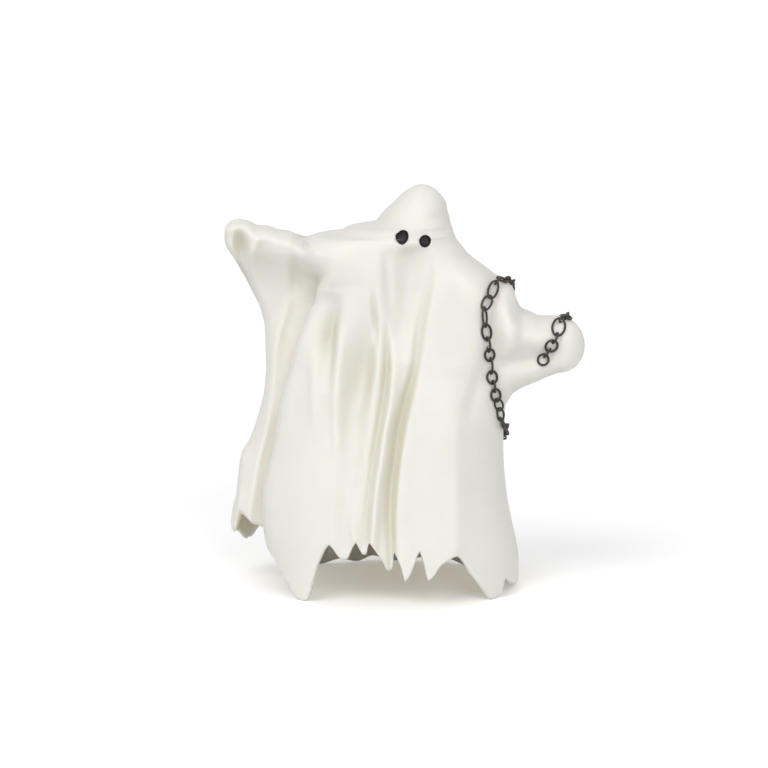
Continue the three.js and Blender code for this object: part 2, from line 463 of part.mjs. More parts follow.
// The loops of the hollow under the sheet from its top point down to the hem
function hollowLoops() {
  const reach = HOLLOW_TOP - HOLLOW_SPRING;
  const top = section(HOLLOW_TOP);
  const loops = [[new THREE.Vector3(top.x, top.y, builtHeight(HOLLOW_TOP))]];
  for (let i = 1; i <= HOLLOW_ROWS; i += 1) {
    const share = (i / HOLLOW_ROWS) ** HOLLOW_ROW_CROWDING;
    loops.push(COLUMNS.map((angle) => {
      const z = THREE.MathUtils.lerp(HOLLOW_TOP, hemHeight(angle), share);
      const taper = THREE.MathUtils.smoothstep(z - hemHeight(angle), 0, HEM_TAPER);
      const point = sheetPoint(angle, z, -THREE.MathUtils.lerp(HEM_WALL, SHEET_WALL, taper));
      const arch = Math.sqrt(1 - (Math.max(0, z - HOLLOW_SPRING) / reach) ** 2);
      const middle = section(z);
      return new THREE.Vector3(
        THREE.MathUtils.lerp(middle.x, point.x, arch),
        THREE.MathUtils.lerp(middle.y, point.y, arch),
        point.z,
      );
    }));
  }
  return loops;
}

// A solid from a list of coordinates and triangles
function solidFrom(coordinates, triangles) {
  return new wasm.Manifold(new wasm.Mesh({
    numProp: 3,
    vertProperties: new Float32Array(coordinates),
    triVerts: new Uint32Array(triangles),
  }));
}

// A closed solid through loops of points that run anticlockwise seen from the end they climb to.
// A loop of one point closes an end, and an open end gets a fan to its middle.
function loft(loops) {
  const sumOf = (loop) => loop.reduce((sum, p) => sum.add(p), new THREE.Vector3());
  const middle = (loop) => sumOf(loop).divideScalar(loop.length);
  const closed = [...loops];
  if (closed[0].length > 1) closed.unshift([middle(closed[0])]);
  if (closed.at(-1).length > 1) closed.push([middle(closed.at(-1))]);
  const starts = [];
  const points = [];
  closed.forEach((loop) => {
    starts.push(points.length);
    points.push(...loop);
  });
  const triangles = [];
  for (let i = 1; i < closed.length; i += 1) {
    const count = Math.max(closed[i - 1].length, closed[i].length);
    const lower = (j) => starts[i - 1] + (closed[i - 1].length > 1 ? j % count : 0);
    const upper = (j) => starts[i] + (closed[i].length > 1 ? j % count : 0);
    for (let j = 0; j < count; j += 1) {
      if (closed[i - 1].length > 1) triangles.push(lower(j), lower(j + 1), upper(j));
      if (closed[i].length > 1) triangles.push(lower(j + 1), upper(j + 1), upper(j));
    }
  }
  return solidFrom(points.flatMap((p) => p.toArray()), triangles);
}

// A closed sleeve whose front and back meet along its outer edge and its top. pointAt(share, rise)
// gives its surface: share runs 0 to 1 round it from the back to the front, rise from hem to top.
function sleeve(pointAt, columns, rises) {
  const top = rises.length - 1;
  const stride = columns + 1;
  const folded = (row, column) => (row === top ? Math.min(column, columns - column) : column);
  const index = (row, column) => row * stride + folded(row, column);
  const rowAt = (rise) => Array.from({ length: stride }, (_, i) => pointAt(i / columns, rise));
  const triangles = [];
  const quad = (p, q, r, s) => [[p, q, r], [p, r, s]].forEach(([i, j, k]) => {
    if (i !== j && j !== k && k !== i) triangles.push(i, j, k);
  });
  for (let row = 0; row < top; row += 1) {
    for (let i = 0; i < stride; i += 1) {
      const next = (i + 1) % stride;
      quad(index(row, i), index(row, next), index(row + 1, next), index(row + 1, i));
    }
  }
  for (let i = 0; i < columns / 2; i += 1) {
    quad(index(0, columns - i), index(0, columns - i - 1), index(0, i + 1), index(0, i));
  }
  return solidFrom(rises.flatMap(rowAt).flatMap((p) => p.toArray()), triangles);
}

const drapeEdge = curve(DRAPE_EDGE);
const raisedArmTop = curve(RAISED_ARM_TOP);
const drapeFrontHem = curve(DRAPE_FRONT_HEM);
const drapeBackHem = curve(DRAPE_BACK_HEM);
const drapeHalf = curve(DRAPE_HALF);
const drapeMiddle = curve(DRAPE_MIDDLE);
const drapeFlare = curve(DRAPE_FLARE);
const drapeFrontFolds = DRAPE_FRONT_FOLDS.map(foldPath);
const drapeBackFolds = DRAPE_BACK_FOLDS.map(foldPath);
const HAND_X = RAISED_ARM_TOP[0][0];
const HAND_TOP = RAISED_ARM_TOP[0][1];
const DRAPE_CORNER_X = DRAPE_FRONT_HEM[0][0];

// The share of its full size that a rounded edge has reached at a depth behind it
function roundedRise(depth, radius) {
  return Math.sqrt(1 - (1 - THREE.MathUtils.clamp(depth / radius, 0, 1)) ** 2);
}
const quarterSine = (share) => Math.sin((share * Math.PI) / 2);

// The lift of the drape's folds on its front or back
function drapeLift(front, x, z) {
  return sumFolds(front ? drapeFrontFolds : drapeBackFolds, x, z);
}

// The share of the flare at x, full where the arm's front passes into the sheet
function flareShare(x, z) {
  const outer = drapeEdge(z);
  const root = leftSide(Math.min(z, SHOULDER_HEIGHT)) + DRAPE_FLARE_REACH;
  return THREE.MathUtils.clamp((x - outer) / (root - outer), 0, 1) ** DRAPE_FLARE_SPREAD;
}

// The raised arm's outer surface, with its root inside the sheet
function raisedArmPoint(share, rise) {
  const front = share > 0.5;
  const u = Math.abs(2 * share - 1);
  const edgeHeight = THREE.MathUtils.lerp(drapeFrontHem(DRAPE_CORNER_X), HAND_TOP, rise);
  const outer = drapeEdge(edgeHeight);
  const root = leftSide(Math.min(edgeHeight, SHOULDER_HEIGHT)) + RAISED_ARM_ROOT;
  const x = THREE.MathUtils.lerp(outer, root, u ** DRAPE_SPREAD);
  const hem = front ? drapeFrontHem(x) : drapeBackHem(x);
  const top = raisedArmTop(Math.max(x, HAND_X));
  const z = THREE.MathUtils.lerp(hem, top, rise);
  const edge = roundedRise(x - outer, DRAPE_EDGE_ROUNDING);
  const crown = roundedRise(top - z, RAISED_ARM_ROUNDING);
  const flare = front ? drapeFlare(z) * crown * flareShare(x, z) : 0;
  const half = drapeHalf(z) * edge * crown + drapeLift(front, x, z) * Math.min(edge, crown) + flare;
  return new THREE.Vector3(x, drapeMiddle(z) + (front ? -half : half), builtHeight(z));
}

// The hollow in the drape: a wall's thickness inside it, run out below the hem and arched above
function drapeHollowPoint(share, rise) {
  const front = share > 0.5;
  const u = Math.abs(2 * share - 1);
  const z = THREE.MathUtils.lerp(DRAPE_HOLLOW_START, DRAPE_HOLLOW_TOP, rise);
  const outer = drapeEdge(z) + DRAPE_WALL;
  const x = THREE.MathUtils.lerp(outer, leftSide(z) + RAISED_ARM_ROOT, u ** DRAPE_SPREAD);
  const edge = roundedRise(x - outer, DRAPE_EDGE_ROUNDING);
  const above = Math.max(0, z - DRAPE_HOLLOW_SPRING) / (DRAPE_HOLLOW_TOP - DRAPE_HOLLOW_SPRING);
  const arch = Math.sqrt(1 - above ** 2);
  const half = Math.max(0, drapeHalf(z) + drapeLift(front, x, z) - DRAPE_WALL) * edge * arch;
  return new THREE.Vector3(x, drapeMiddle(z) + (front ? -half : half), builtHeight(z));
}

// Rises of the arm's rows: even over the drape, closer together round the top of the arm
function raisedArmRises() {
  const rises = [];
  for (let i = 0; i < RAISED_ARM_ROWS; i += 1) rises.push((RAISED_ARM_TOP_START * i) / RAISED_ARM_ROWS);
  for (let i = 0; i <= RAISED_ARM_TOP_ROWS; i += 1) {
    const share = quarterSine(i / RAISED_ARM_TOP_ROWS);
    rises.push(THREE.MathUtils.lerp(RAISED_ARM_TOP_START, 1, share));
  }
  return rises;
}
function drapeHollowRises() {
  return Array.from({ length: DRAPE_HOLLOW_ROWS + 1 }, (_, i) => quarterSine(i / DRAPE_HOLLOW_ROWS));
}

const bentArmTop = curve(BENT_ARM_TOP);
const bentArmUnderside = curve(BENT_ARM_UNDERSIDE);
const bentArmHalf = curve(BENT_ARM_HALF);
const bentArmMiddle = curve(BENT_ARM_MIDDLE);
const bentFrontFolds = BENT_ARM_FRONT_FOLDS.map(foldPath);
const bentBackFolds = BENT_ARM_BACK_FOLDS.map(foldPath);

// The bent arm's surface: turn goes round its section, share along it from the root to the tip
function bentArmPoint(turn, share, grow = 0) {
  const straight = Math.min(1, share / BENT_ARM_CAP_START);
  const past = Math.max(0, share - BENT_ARM_CAP_START) / (1 - BENT_ARM_CAP_START);
  const cap = (past * Math.PI) / 2;
  const along = THREE.MathUtils.lerp(BENT_ARM_ROOT_X, BENT_ARM_CAP_X, straight);
  const x = along + (BENT_ARM_TIP_X - BENT_ARM_CAP_X + grow) * Math.sin(cap);
  const top = bentArmTop(along);
  const underside = bentArmUnderside(along);
  const narrow = Math.cos(cap);
  const squared = (value) => Math.sign(value) * Math.abs(value) ** BENT_ARM_SQUARENESS;
  const c = Math.cos(turn);
  const middle = (top + underside) / 2 - BENT_ARM_TIP_DROP * Math.sin(cap);
  const z = middle + ((top - underside) / 2 + grow) * narrow * squared(Math.sin(turn));
  const lift = sumFolds(c < 0 ? bentFrontFolds : bentBackFolds, x, z) * c * Math.min(1, 2 * narrow);
  const y = bentArmMiddle(x) + (bentArmHalf(along) + grow) * narrow * squared(c) + lift;
  return new THREE.Vector3(x, y, builtHeight(z));
}

// The bent arm's outline as a solid, moved out by grow
function bentArmSolid(grow) {
  const loops = [];
  for (let i = 0; i < BENT_ARM_ROWS; i += 1) {
    loops.push(Array.from({ length: BENT_ARM_SIDES }, (_, k) => {
      const turn = (2 * Math.PI * k) / BENT_ARM_SIDES;
      return bentArmPoint(turn, i / BENT_ARM_ROWS, grow);
    }));
  }
  loops.push([bentArmPoint(0, 1, grow)]);
  return loft(loops);
}

// Conversions between three.js geometry and solids
function solidOf(geometry) {
  const bare = geometry.clone();
  bare.deleteAttribute('normal');
  bare.deleteAttribute('uv');
  const merged = mergeVertices(bare);
  return solidFrom(merged.getAttribute('position').array, merged.getIndex().array);
}
function geometryOf(solid) {
  const { vertProperties, triVerts } = solid.getMesh();
  const geometry = new THREE.BufferGeometry();
  geometry.setAttribute('position', new THREE.BufferAttribute(new Float32Array(vertProperties), 3));
  geometry.setIndex(new THREE.BufferAttribute(new Uint32Array(triVerts), 1));
  geometry.computeVertexNormals();
  return geometry;
}

// The oval section of a peg, grown for its hole
function pegShape(peg, grow) {
  const radius = Math.min(peg.width, peg.height) / 2 + grow;
  const reachY = peg.width / 2 + grow - radius;
  const reachZ = peg.height / 2 + grow - radius;
  const start = peg.width > peg.height ? -Math.PI / 2 : 0;
  const shape = new THREE.Shape();
  shape.absarc(reachY, reachZ, radius, start, start + Math.PI, false);
  shape.absarc(-reachY, -reachZ, radius, start + Math.PI, start + 2 * Math.PI, false);
  return shape;
}

// A peg along X from inside its arm to its end, or the hole for it, grown and run deeper
function pegSolid({ peg, y, z }, grow) {
  const depth = Math.abs(peg.to - peg.from) + grow;
  const geometry = new THREE.ExtrudeGeometry(pegShape(peg, grow), {
    depth,
    bevelEnabled: false,
    curveSegments: PEG_CURVE_STEPS,
  });
  geometry.applyMatrix4(new THREE.Matrix4().makeBasis(
    new THREE.Vector3(0, 1, 0),
    new THREE.Vector3(0, 0, 1),
    new THREE.Vector3(1, 0, 0),
  ));
  geometry.translate(peg.to > peg.from ? peg.from : peg.to - grow, y, builtHeight(z));
  return solidOf(geometry);
}

// Where the pegs sit: under the top of the raised arm's root, and in the middle of the bent arm's
function raisedPeg() {
  const z = raisedArmTop(RAISED_PEG.from) - RAISED_PEG_DEPTH;
  return { peg: RAISED_PEG, y: drapeMiddle(z), z };
}
function bentPeg() {
  const x = (BENT_PEG.from + BENT_PEG.to) / 2;
  return { peg: BENT_PEG, y: bentArmMiddle(x), z: (bentArmTop(x) + bentArmUnderside(x)) / 2 };
}

// The frame of an eye: on the surface, with its local Z out of the face
function eyeFrame(eye) {
  const at = (x, z) => {
    const { x: cx, a } = section(z);
    return sheetPoint(-Math.acos(THREE.MathUtils.clamp((x - cx) / a, -1, 1)), z);
  };
  const z = TOP - eye.drop;
  const reachX = eye.width / 2;
  const reachZ = eye.height / 2;
  const right = at(eye.x + reachX, z).sub(at(eye.x - reachX, z)).normalize();
  const up = at(eye.x, z + reachZ).sub(at(eye.x, z - reachZ)).normalize();
  const out = right.clone().cross(up).normalize();
  const frame = new THREE.Matrix4().makeBasis(right, out.clone().cross(right), out);
  return frame.setPosition(at(eye.x, z));
}

// An eye's outline: an oval with a flattened upper left corner
function eyeShape(eye, grow) {
  const points = Array.from({ length: EYE_STEPS }, (_, i) => {
    const turn = (2 * Math.PI * i) / EYE_STEPS;
    const corner = Math.cos(turn - EYE_NOTCH_TURN);
    const size = 1 - eye.notch * Math.exp(-((1 - corner) / EYE_NOTCH_SPREAD));
    return new THREE.Vector2(
      (eye.width / 2 + grow) * size * Math.cos(turn),
      (eye.height / 2 + grow) * size * Math.sin(turn),
    );
  });
  return new THREE.Shape(points);
}

// The prism of an eye between two depths below the surface
function eyePrism(eye, grow, from, to) {
  const depth = to - from;
  const geometry = new THREE.ExtrudeGeometry(eyeShape(eye, grow), { depth, bevelEnabled: false });
  geometry.translate(0, 0, -to);
  geometry.applyMatrix4(eyeFrame(eye));
  return solidOf(geometry);
}
function eyeSolid(eye) {
  const dish = new THREE.SphereGeometry(EYE_DISH_RADIUS, EYE_DISH_SIDES, EYE_DISH_ROWS);
  dish.translate(0, 0, EYE_DISH_RADIUS - EYE_SINK - EYE_DISH_DEPTH);
  dish.applyMatrix4(eyeFrame(eye));
  return eyePrism(eye, 0, EYE_SINK, EYE_SINK + EYE_DEPTH).subtract(solidOf(dish));
}
function eyeSocket(eye) {
  return eyePrism(eye, EYE_CLEARANCE, -EYE_SOCKET_REACH, EYE_SINK + EYE_DEPTH + EYE_CLEARANCE);
}

// The four ways a point of the route is seen: where its ray starts and the axes across it
const VIEWS = {
  F: { start: (x, z) => [x, -PROBE_START, builtHeight(z)], towards: [0, 1, 0], across: [[1, 0, 0], [0, 0, 1]] },
  B: { start: (x, z) => [x, PROBE_START, builtHeight(z)], towards: [0, -1, 0], across: [[1, 0, 0], [0, 0, 1]] },
  T: { start: (x, y) => [x, y, PROBE_START], towards: [0, 0, -1], across: [[1, 0, 0], [0, 1, 0]] },
  R: { start: (y, z) => [PROBE_START, y, builtHeight(z)], towards: [-1, 0, 0], across: [[0, 1, 0], [0, 0, 1]] },
};
const PROBE_OFFSETS = [[0, 0], [1, 0], [-1, 0], [0, 1], [0, -1]];

// Where a point of the route lies: over the highest spot that a link there would rest on, with the
// mean normal of the surface round it
function routePoint([side, u, v], surfaces) {
  const { start, towards, across } = VIEWS[side];
  const direction = new THREE.Vector3(...towards);
  const axes = across.map((axis) => new THREE.Vector3(...axis));
  const origin = new THREE.Vector3(...start(u, v));
  const normal = new THREE.Vector3();
  let reach = Infinity;
  PROBE_OFFSETS.forEach(([p, q]) => {
    const probe = origin.clone();
    probe.addScaledVector(axes[0], p * LINK_PROBE).addScaledVector(axes[1], q * LINK_PROBE);
    const hit = new THREE.Raycaster(probe, direction).intersectObjects(surfaces)[0];
    if (!hit) return;
    normal.add(hit.face.normal);
    const allowance = p === 0 && q === 0 ? 0 : LINK_PROBE_ALLOWANCE;
    reach = Math.min(reach, hit.distance + allowance);
  });
  normal.normalize();
  const point = origin.addScaledVector(direction, reach).addScaledVector(normal, LINK_LIFT);
  return { point, normal };
}

// One link: a round wire bent to an oval, along +X, flat in the XY plane
function linkGeometry(length) {
  const ring = LINK_WIDTH / 2 - LINK_WIRE / 2;
  const stretch = length / 2 - LINK_WIRE / 2 - ring;
  const geometry = new THREE.TorusGeometry(ring, LINK_WIRE / 2, LINK_SIDES, LINK_STEPS);
  const position = geometry.getAttribute('position');
  for (let i = 0; i < position.count; i += 1) {
    const x = position.getX(i);
    position.setX(i, x + (stretch * x) / Math.hypot(x, position.getY(i)));
  }
  return geometry;
}

// The frame of a link between two hooks: along +X, with its width along +Y
function linkFrame(from, to, rollDegrees) {
  const along = to.point.clone().sub(from.point).normalize();
  const normal = from.normal.clone().add(to.normal);
  normal.addScaledVector(along, -normal.dot(along)).normalize();
  const roll = THREE.MathUtils.degToRad(rollDegrees);
  const wide = normal.clone().cross(along).multiplyScalar(Math.cos(roll));
  wide.addScaledVector(normal, Math.sin(roll));
  const frame = new THREE.Matrix4().makeBasis(along, wide, along.clone().cross(wide));
  return frame.setPosition(from.point.clone().add(to.point).multiplyScalar(0.5));
}

// The links of the chain: each spans two points of its route
function chainLinks(surfaces) {
  const hooks = CHAIN_ROUTE.map((entry) => routePoint(entry, surfaces));
  return hooks.slice(1).map((to, i) => {
    const from = hooks[i];
    const length = from.point.distanceTo(to.point) + 2 * LINK_WIRE + LINK_PLAY;
    return solidOf(linkGeometry(length).applyMatrix4(linkFrame(from, to, CHAIN_ROUTE[i][3])));
  });
}

// Materials
const sheetMaterial = new THREE.MeshStandardMaterial({ color: 0xf1efe4, roughness: 0.45, metalness: 0 });
const eyeMaterial = new THREE.MeshStandardMaterial({ color: 0x1c1610, roughness: 0.4, metalness: 0 });
const chainMaterial = new THREE.MeshStandardMaterial({ color: 0x3c3730, roughness: 0.45, metalness: 0.3 });

const figurine = new THREE.Group();
function addPiece(name, solid, material) {
  const mesh = new THREE.Mesh(geometryOf(solid), material.clone());
  mesh.name = name;
  figurine.add(mesh);
}

// The sheet, its filled outline, and the outline grown by the seat gap and run down past the hem
const outline = sheetLoops(0);
const filledSheet = loft(outline);
const grownLoops = sheetLoops(SEAT_GAP);
grownLoops.unshift(grownLoops[0].map((p) => new THREE.Vector3(p.x, p.y, CUTTER_BOTTOM)));
const grownSheet = loft(grownLoops);
const sheetShell = loft([...hollowLoops(), ...outline]);

// The arms before they are cut
const raisedArmWhole = sleeve(raisedArmPoint, RAISED_ARM_COLUMNS, raisedArmRises());
const drapeHollow = sleeve(drapeHollowPoint, DRAPE_HOLLOW_COLUMNS, drapeHollowRises());
const bentArmWhole = bentArmSolid(0);
const grownBentArm = bentArmSolid(SEAT_GAP);

const raisedArm = raisedArmWhole.subtract(drapeHollow).subtract(grownSheet).add(pegSolid(raisedPeg(), 0));
const bentArm = bentArmWhole.subtract(grownSheet).add(pegSolid(bentPeg(), 0));
const sheetBody = [
  pegSolid(raisedPeg(), PEG_CLEARANCE),
  pegSolid(bentPeg(), PEG_CLEARANCE),
  eyeSocket(LEFT_EYE),
  eyeSocket(RIGHT_EYE),
].reduce((solid, hole) => solid.subtract(hole), sheetShell);

addPiece('sheet_body', sheetBody, sheetMaterial);
addPiece('raised_arm', raisedArm, sheetMaterial);
addPiece('bent_arm', bentArm, sheetMaterial);
addPiece('left_eye', eyeSolid(LEFT_EYE), eyeMaterial);
addPiece('right_eye', eyeSolid(RIGHT_EYE), eyeMaterial);

const surfaceOf = (solid) => new THREE.Mesh(geometryOf(solid));
const surfaces = [filledSheet, raisedArmWhole, bentArmWhole].map(surfaceOf);
chainLinks(surfaces).forEach((link, i) => {
  const number = String(i + 1).padStart(2, '0');
  addPiece(`chain_link_${number}`, link.subtract(grownSheet).subtract(grownBentArm), chainMaterial);
});

// The whole figurine stands on its hem with the middle of its outline over the origin
const extent = new THREE.Box3().setFromObject(figurine);
const centre = extent.getCenter(new THREE.Vector3());
figurine.position.set(-centre.x, -centre.y, -extent.min.z);

export default figurine;
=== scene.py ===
import math

import bpy
import numpy as np
from mathutils import Matrix, Vector
from mathutils.bvhtree import BVHTree


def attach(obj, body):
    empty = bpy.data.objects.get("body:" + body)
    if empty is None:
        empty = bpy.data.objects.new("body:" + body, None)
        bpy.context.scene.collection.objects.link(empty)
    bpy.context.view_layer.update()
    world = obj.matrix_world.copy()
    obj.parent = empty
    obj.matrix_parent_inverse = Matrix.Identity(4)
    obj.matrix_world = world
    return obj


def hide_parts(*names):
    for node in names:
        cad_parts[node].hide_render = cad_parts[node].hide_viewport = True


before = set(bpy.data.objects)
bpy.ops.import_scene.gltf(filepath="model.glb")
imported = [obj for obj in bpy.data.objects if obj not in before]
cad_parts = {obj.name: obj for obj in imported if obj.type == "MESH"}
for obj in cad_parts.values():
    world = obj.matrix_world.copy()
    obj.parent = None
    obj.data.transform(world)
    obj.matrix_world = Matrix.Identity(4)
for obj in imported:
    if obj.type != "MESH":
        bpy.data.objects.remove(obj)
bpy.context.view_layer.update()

MM = 0.001

# Outline of the sheet: half profiles as (height, x) and (height, y)
TOP = 80.2
CROWN = 73.9
SHOULDER = 66.0
LEFT_SIDE = [
    (0, -27.0), (9, -27.6), (13.5, -28.1), (18.5, -28.0), (23.5, -27.0), (28.5, -25.7),
    (32.5, -25.0), (37.5, -24.0), (41.5, -22.9), (46.2, -21.4), (50.6, -19.9), (55.4, -18.0),
    (59.0, -16.5), (61.1, -16.3), (63.2, -17.1), (66.5, -19.0), (68.4, -19.7), (69.5, -19.1),
    (70.2, -17.8), (70.65, -13.5), (71.05, -12.4), (71.75, -11.2), (72.1, -8.9), (72.4, -7.0),
    (73.0, -5.6), (73.9, -4.8),
]
RIGHT_SIDE = [
    (0, 22.7), (5, 22.8), (8.4, 22.4), (11.6, 21.7), (17, 20.6), (25.7, 19.7), (30, 19.6),
    (35, 19.9), (38, 19.5), (45, 18.6), (54, 18.5), (58, 19.0), (61, 18.6), (63.1, 16.9),
    (64.3, 15.3), (65.5, 13.7), (66.7, 12.3), (67.9, 11.4), (69.1, 10.4), (70.3, 9.8),
    (71.5, 9.4), (72.7, 9.0), (73.9, 8.8),
]
FRONT_SIDE = [
    (0, -20.5), (10, -19.8), (20, -18.7), (30, -17.3), (40, -15.8), (46, -15.1), (52, -14.8),
    (58, -14.5), (62, -14.0), (66, -13.3), (70, -12.1), (72.3, -10.3), (73.9, -8.8),
]
BACK_SIDE = [
    (0, 20.5), (10, 19.8), (20, 18.6), (30, 17.2), (40, 15.6), (50, 13.9), (58, 12.2),
    (62, 11.2), (66, 10.2), (70, 8.8), (72.3, 7.6), (73.9, 6.8),
]
# How square the front of the section is, by height: 1 is an ellipse, less is squarer
SQUARENESS = [
    (0, 0.85), (20, 0.8), (40, 0.72), (50, 0.68), (62, 0.68), (67, 0.74), (70, 0.84),
    (72, 0.95), (74, 1.0), (TOP, 1.0),
]
HEAD_X = [(73.9, 1.9), (75.1, 2.3), (76.3, 2.85), (77.5, 3.15), (80.2, 3.4)]
HEAD_Y = [(73.9, -0.9), (77, -1.4), (80.2, -2.2)]

# The ragged hem: x and height along the front and back, angle and height at the right
FRONT_HEM = [
    (-27.2, 10.0), (-25.2, 6.6), (-23.2, 3.2), (-22.0, 1.1), (-21.2, 0.2), (-20.4, 0),
    (-19.7, 0.2), (-19.0, 1.3), (-18.1, 4.0), (-16.6, 8.0), (-13.9, 11.6), (-12.0, 8.8),
    (-11.0, 8.9), (-8.5, 12.3), (-7.6, 10.0), (-6.9, 10.1), (-5.8, 12.4), (-4.2, 9.4),
    (-3.1, 6.8), (-2.3, 7.0), (-1.3, 10.3), (-0.5, 8.0), (0.0, 5.0), (0.6, 5.4), (3.8, 10.6),
    (4.1, 8.0), (4.4, 5.1), (5.2, 5.4), (7.4, 8.0), (10.8, 9.7), (12.9, 5.8), (14.7, 3.2),
    (16.2, 1.0), (17.2, 0), (18.2, 0), (19.0, 0.3),
]
BACK_HEM = [
    (-24.8, 9.0), (-21.6, 4.6), (-19.6, 0), (-18.4, 0), (-17.2, 0), (-13.4, 0.9), (-9.9, 0.1),
    (-6.6, 1.0), (-2.6, 0.1), (0.4, 0.1), (4.2, 1.0), (7.4, 0.1), (9.8, 0.8), (13.0, 0),
    (14.2, 0), (15.4, 0), (19.0, 5.6), (21.0, 7.4),
]
RIGHT_HEM = [
    (-27.5, 3.4), (-22, 2.2), (-14, 1.2), (-6, 0.6), (0, 0.2), (6, 0), (13, 0.6), (20, 4.6),
]
HEM_REFERENCE_HEIGHT = 6.0
HEM_STRAIGHTNESS = 0.35

# Folds: the width to the left and to the right, then points (x, height, lift)
FRONT_FOLDS = [
    (1.2, 2.2, (-12.6, 69.5, 0), (-13.4, 65.4, 0.7), (-14.0, 63.3, 1.2), (-15.0, 61.4, 1.7),
     (-16.4, 59.5, 2.1), (-17.8, 57.2, 2.3), (-19.0, 53.7, 2.3), (-20.1, 49.8, 2.2),
     (-21.5, 46.0, 1.9), (-23.1, 40.1, 1.6), (-24.4, 34.2, 1.4), (-25.5, 28.3, 1.2),
     (-26.6, 22.4, 1.1), (-27.0, 16.5, 0.9), (-26.6, 9.0, 0.6)),
    (1.9, 1.2, (-13.2, 60.4, 0), (-13.5, 57.4, -1.0), (-14.2, 54.0, -2.2), (-14.5, 50.8, -2.6),
     (-14.6, 47.0, -1.5), (-14.8, 41.0, 0)),
    (1.0, 1.6, (-12.6, 54.4, 0), (-12.8, 50.5, 0.7), (-13.2, 45.0, 0.9), (-13.3, 39.0, 0.9),
     (-13.2, 32.0, 0.6), (-13.0, 25.0, 0)),
    (1.0, 1.0, (-17.6, 50.0, 0), (-17.6, 46.0, 0.4), (-17.6, 39.0, 0.5), (-17.4, 33.0, 0)),
    (3.4, 1.8, (-7.0, 60.0, 0), (-7.2, 54.0, -1.2), (-7.5, 48.0, -2.5), (-8.1, 42.5, -2.8),
     (-9.3, 36.0, -1.7), (-9.8, 28.0, -1.0), (-10.0, 18.0, -0.5), (-10.0, 8.0, 0)),
    (0.6, 0.6, (-6.1, 62.0, 0), (-6.0, 58.5, -0.5), (-5.7, 54.0, -0.7), (-5.6, 50.0, 0)),
    (0.8, 0.8, (-5.6, 51.0, 0), (-5.5, 46.0, 0.4), (-6.4, 40.0, 0.4), (-7.2, 35.0, 0)),
    (0.9, 0.6, (-3.7, 55.5, 0), (-3.5, 51.5, -0.7), (-3.45, 45.5, -1.1), (-4.0, 40.0, -0.9),
     (-5.0, 34.2, -0.8), (-6.0, 28.3, -0.7), (-6.7, 22.4, -0.6), (-7.4, 16.5, -0.5),
     (-7.8, 10.0, 0)),
    (0.8, 1.2, (-1.8, 52.0, 0), (-2.1, 46.0, 0.6), (-2.7, 40.0, 1.1), (-3.8, 34.2, 1.3),
     (-4.6, 28.3, 1.3), (-5.6, 22.4, 1.4), (-6.0, 16.5, 1.4), (-6.4, 11.4, 1.2),
     (-6.5, 4.0, 1.0)),
    (1.0, 0.8, (5.6, 67.0, 0), (5.1, 63.4, -0.5), (4.2, 59.5, -0.7), (3.4, 55.6, -0.8),
     (2.8, 51.8, -0.9), (2.0, 46.0, -1.1), (0.3, 40.0, -1.4), (-1.0, 34.2, -1.4),
     (-1.8, 28.3, -1.3), (-2.6, 22.4, -1.2), (-2.8, 16.5, -1.1), (-2.5, 10.0, -0.9),
     (-2.6, 4.0, -0.8)),
    (0.9, 3.0, (3.4, 45.0, 0), (2.2, 40.0, 0.6), (0.6, 34.2, 0.8), (-0.5, 28.3, 0.9),
     (-1.0, 22.4, 0.9), (-1.3, 16.5, 0.8), (-1.2, 11.0, 0.7), (-0.9, 3.0, 0.6)),
    (4.6, 4.6, (7.2, 48.0, 0), (6.2, 40.0, 0.6), (5.6, 33.0, 0.9), (4.8, 24.0, 0.9),
     (4.2, 6.0, 0.7)),
    (4.0, 5.0, (9.0, 44.0, 0), (9.2, 38.0, 0.8), (9.5, 30.0, 1.1), (9.6, 12.0, 1.1),
     (9.6, 3.0, 0.9)),
    (1.5, 1.8, (9.0, 42.0, 0), (9.6, 36.0, 0.25), (9.8, 28.0, 0.35), (9.8, 12.0, 0.4),
     (9.8, 3.0, 0.3)),
    (1.4, 1.6, (15.0, 46.5, 0), (14.0, 42.8, -0.4), (13.3, 40.0, -0.5), (12.7, 37.5, -0.4),
     (12.2, 33.5, 0)),
    (2.8, 1.8, (12.4, 65.0, 0), (14.2, 61.0, 0.8), (14.9, 57.0, 1.1), (14.6, 52.0, 1.1),
     (13.8, 47.0, 0.7), (13.4, 42.0, 0)),
    (2.6, 2.6, (7.4, 67.5, 0), (7.8, 64.0, -0.9), (8.4, 58.0, -1.1), (8.6, 52.0, -0.8),
     (9.5, 46.0, 0)),
    (4.0, 4.6, (1.4, 70.0, 0), (1.5, 67.4, -2.0), (1.4, 64.0, -3.0), (0.8, 59.0, -3.0),
     (0.2, 53.0, -1.9), (-0.6, 47.0, 0)),
    (1.0, 1.0, (-3.5, 69.0, 0), (-3.5, 66.0, -0.45), (-3.2, 60.0, -0.5), (-3.0, 55.5, 0)),
    (1.1, 1.1, (-2.8, 68.2, 0), (-0.2, 69.3, 0.4), (2.6, 69.5, 0.5), (5.0, 69.1, 0.4),
     (6.8, 67.6, 0)),
    (1.4, 1.4, (-2.4, 72.6, 0), (0.4, 72.1, -0.4), (3.0, 71.7, -0.45), (5.6, 71.0, 0)),
    (3.0, 3.0, (2.0, 75.8, 0.35), (4.0, 75.6, 0.35)),
    (0.7, 0.8, (-10.0, 20.0, 0), (-9.9, 16.0, 0.5), (-9.7, 12.0, 0.6), (-9.6, 6.0, 0.4)),
    (1.0, 1.0, (-12.2, 26.0, 0), (-12.2, 20.0, -0.35), (-12.4, 12.0, -0.4), (-12.4, 6.0, 0)),
]
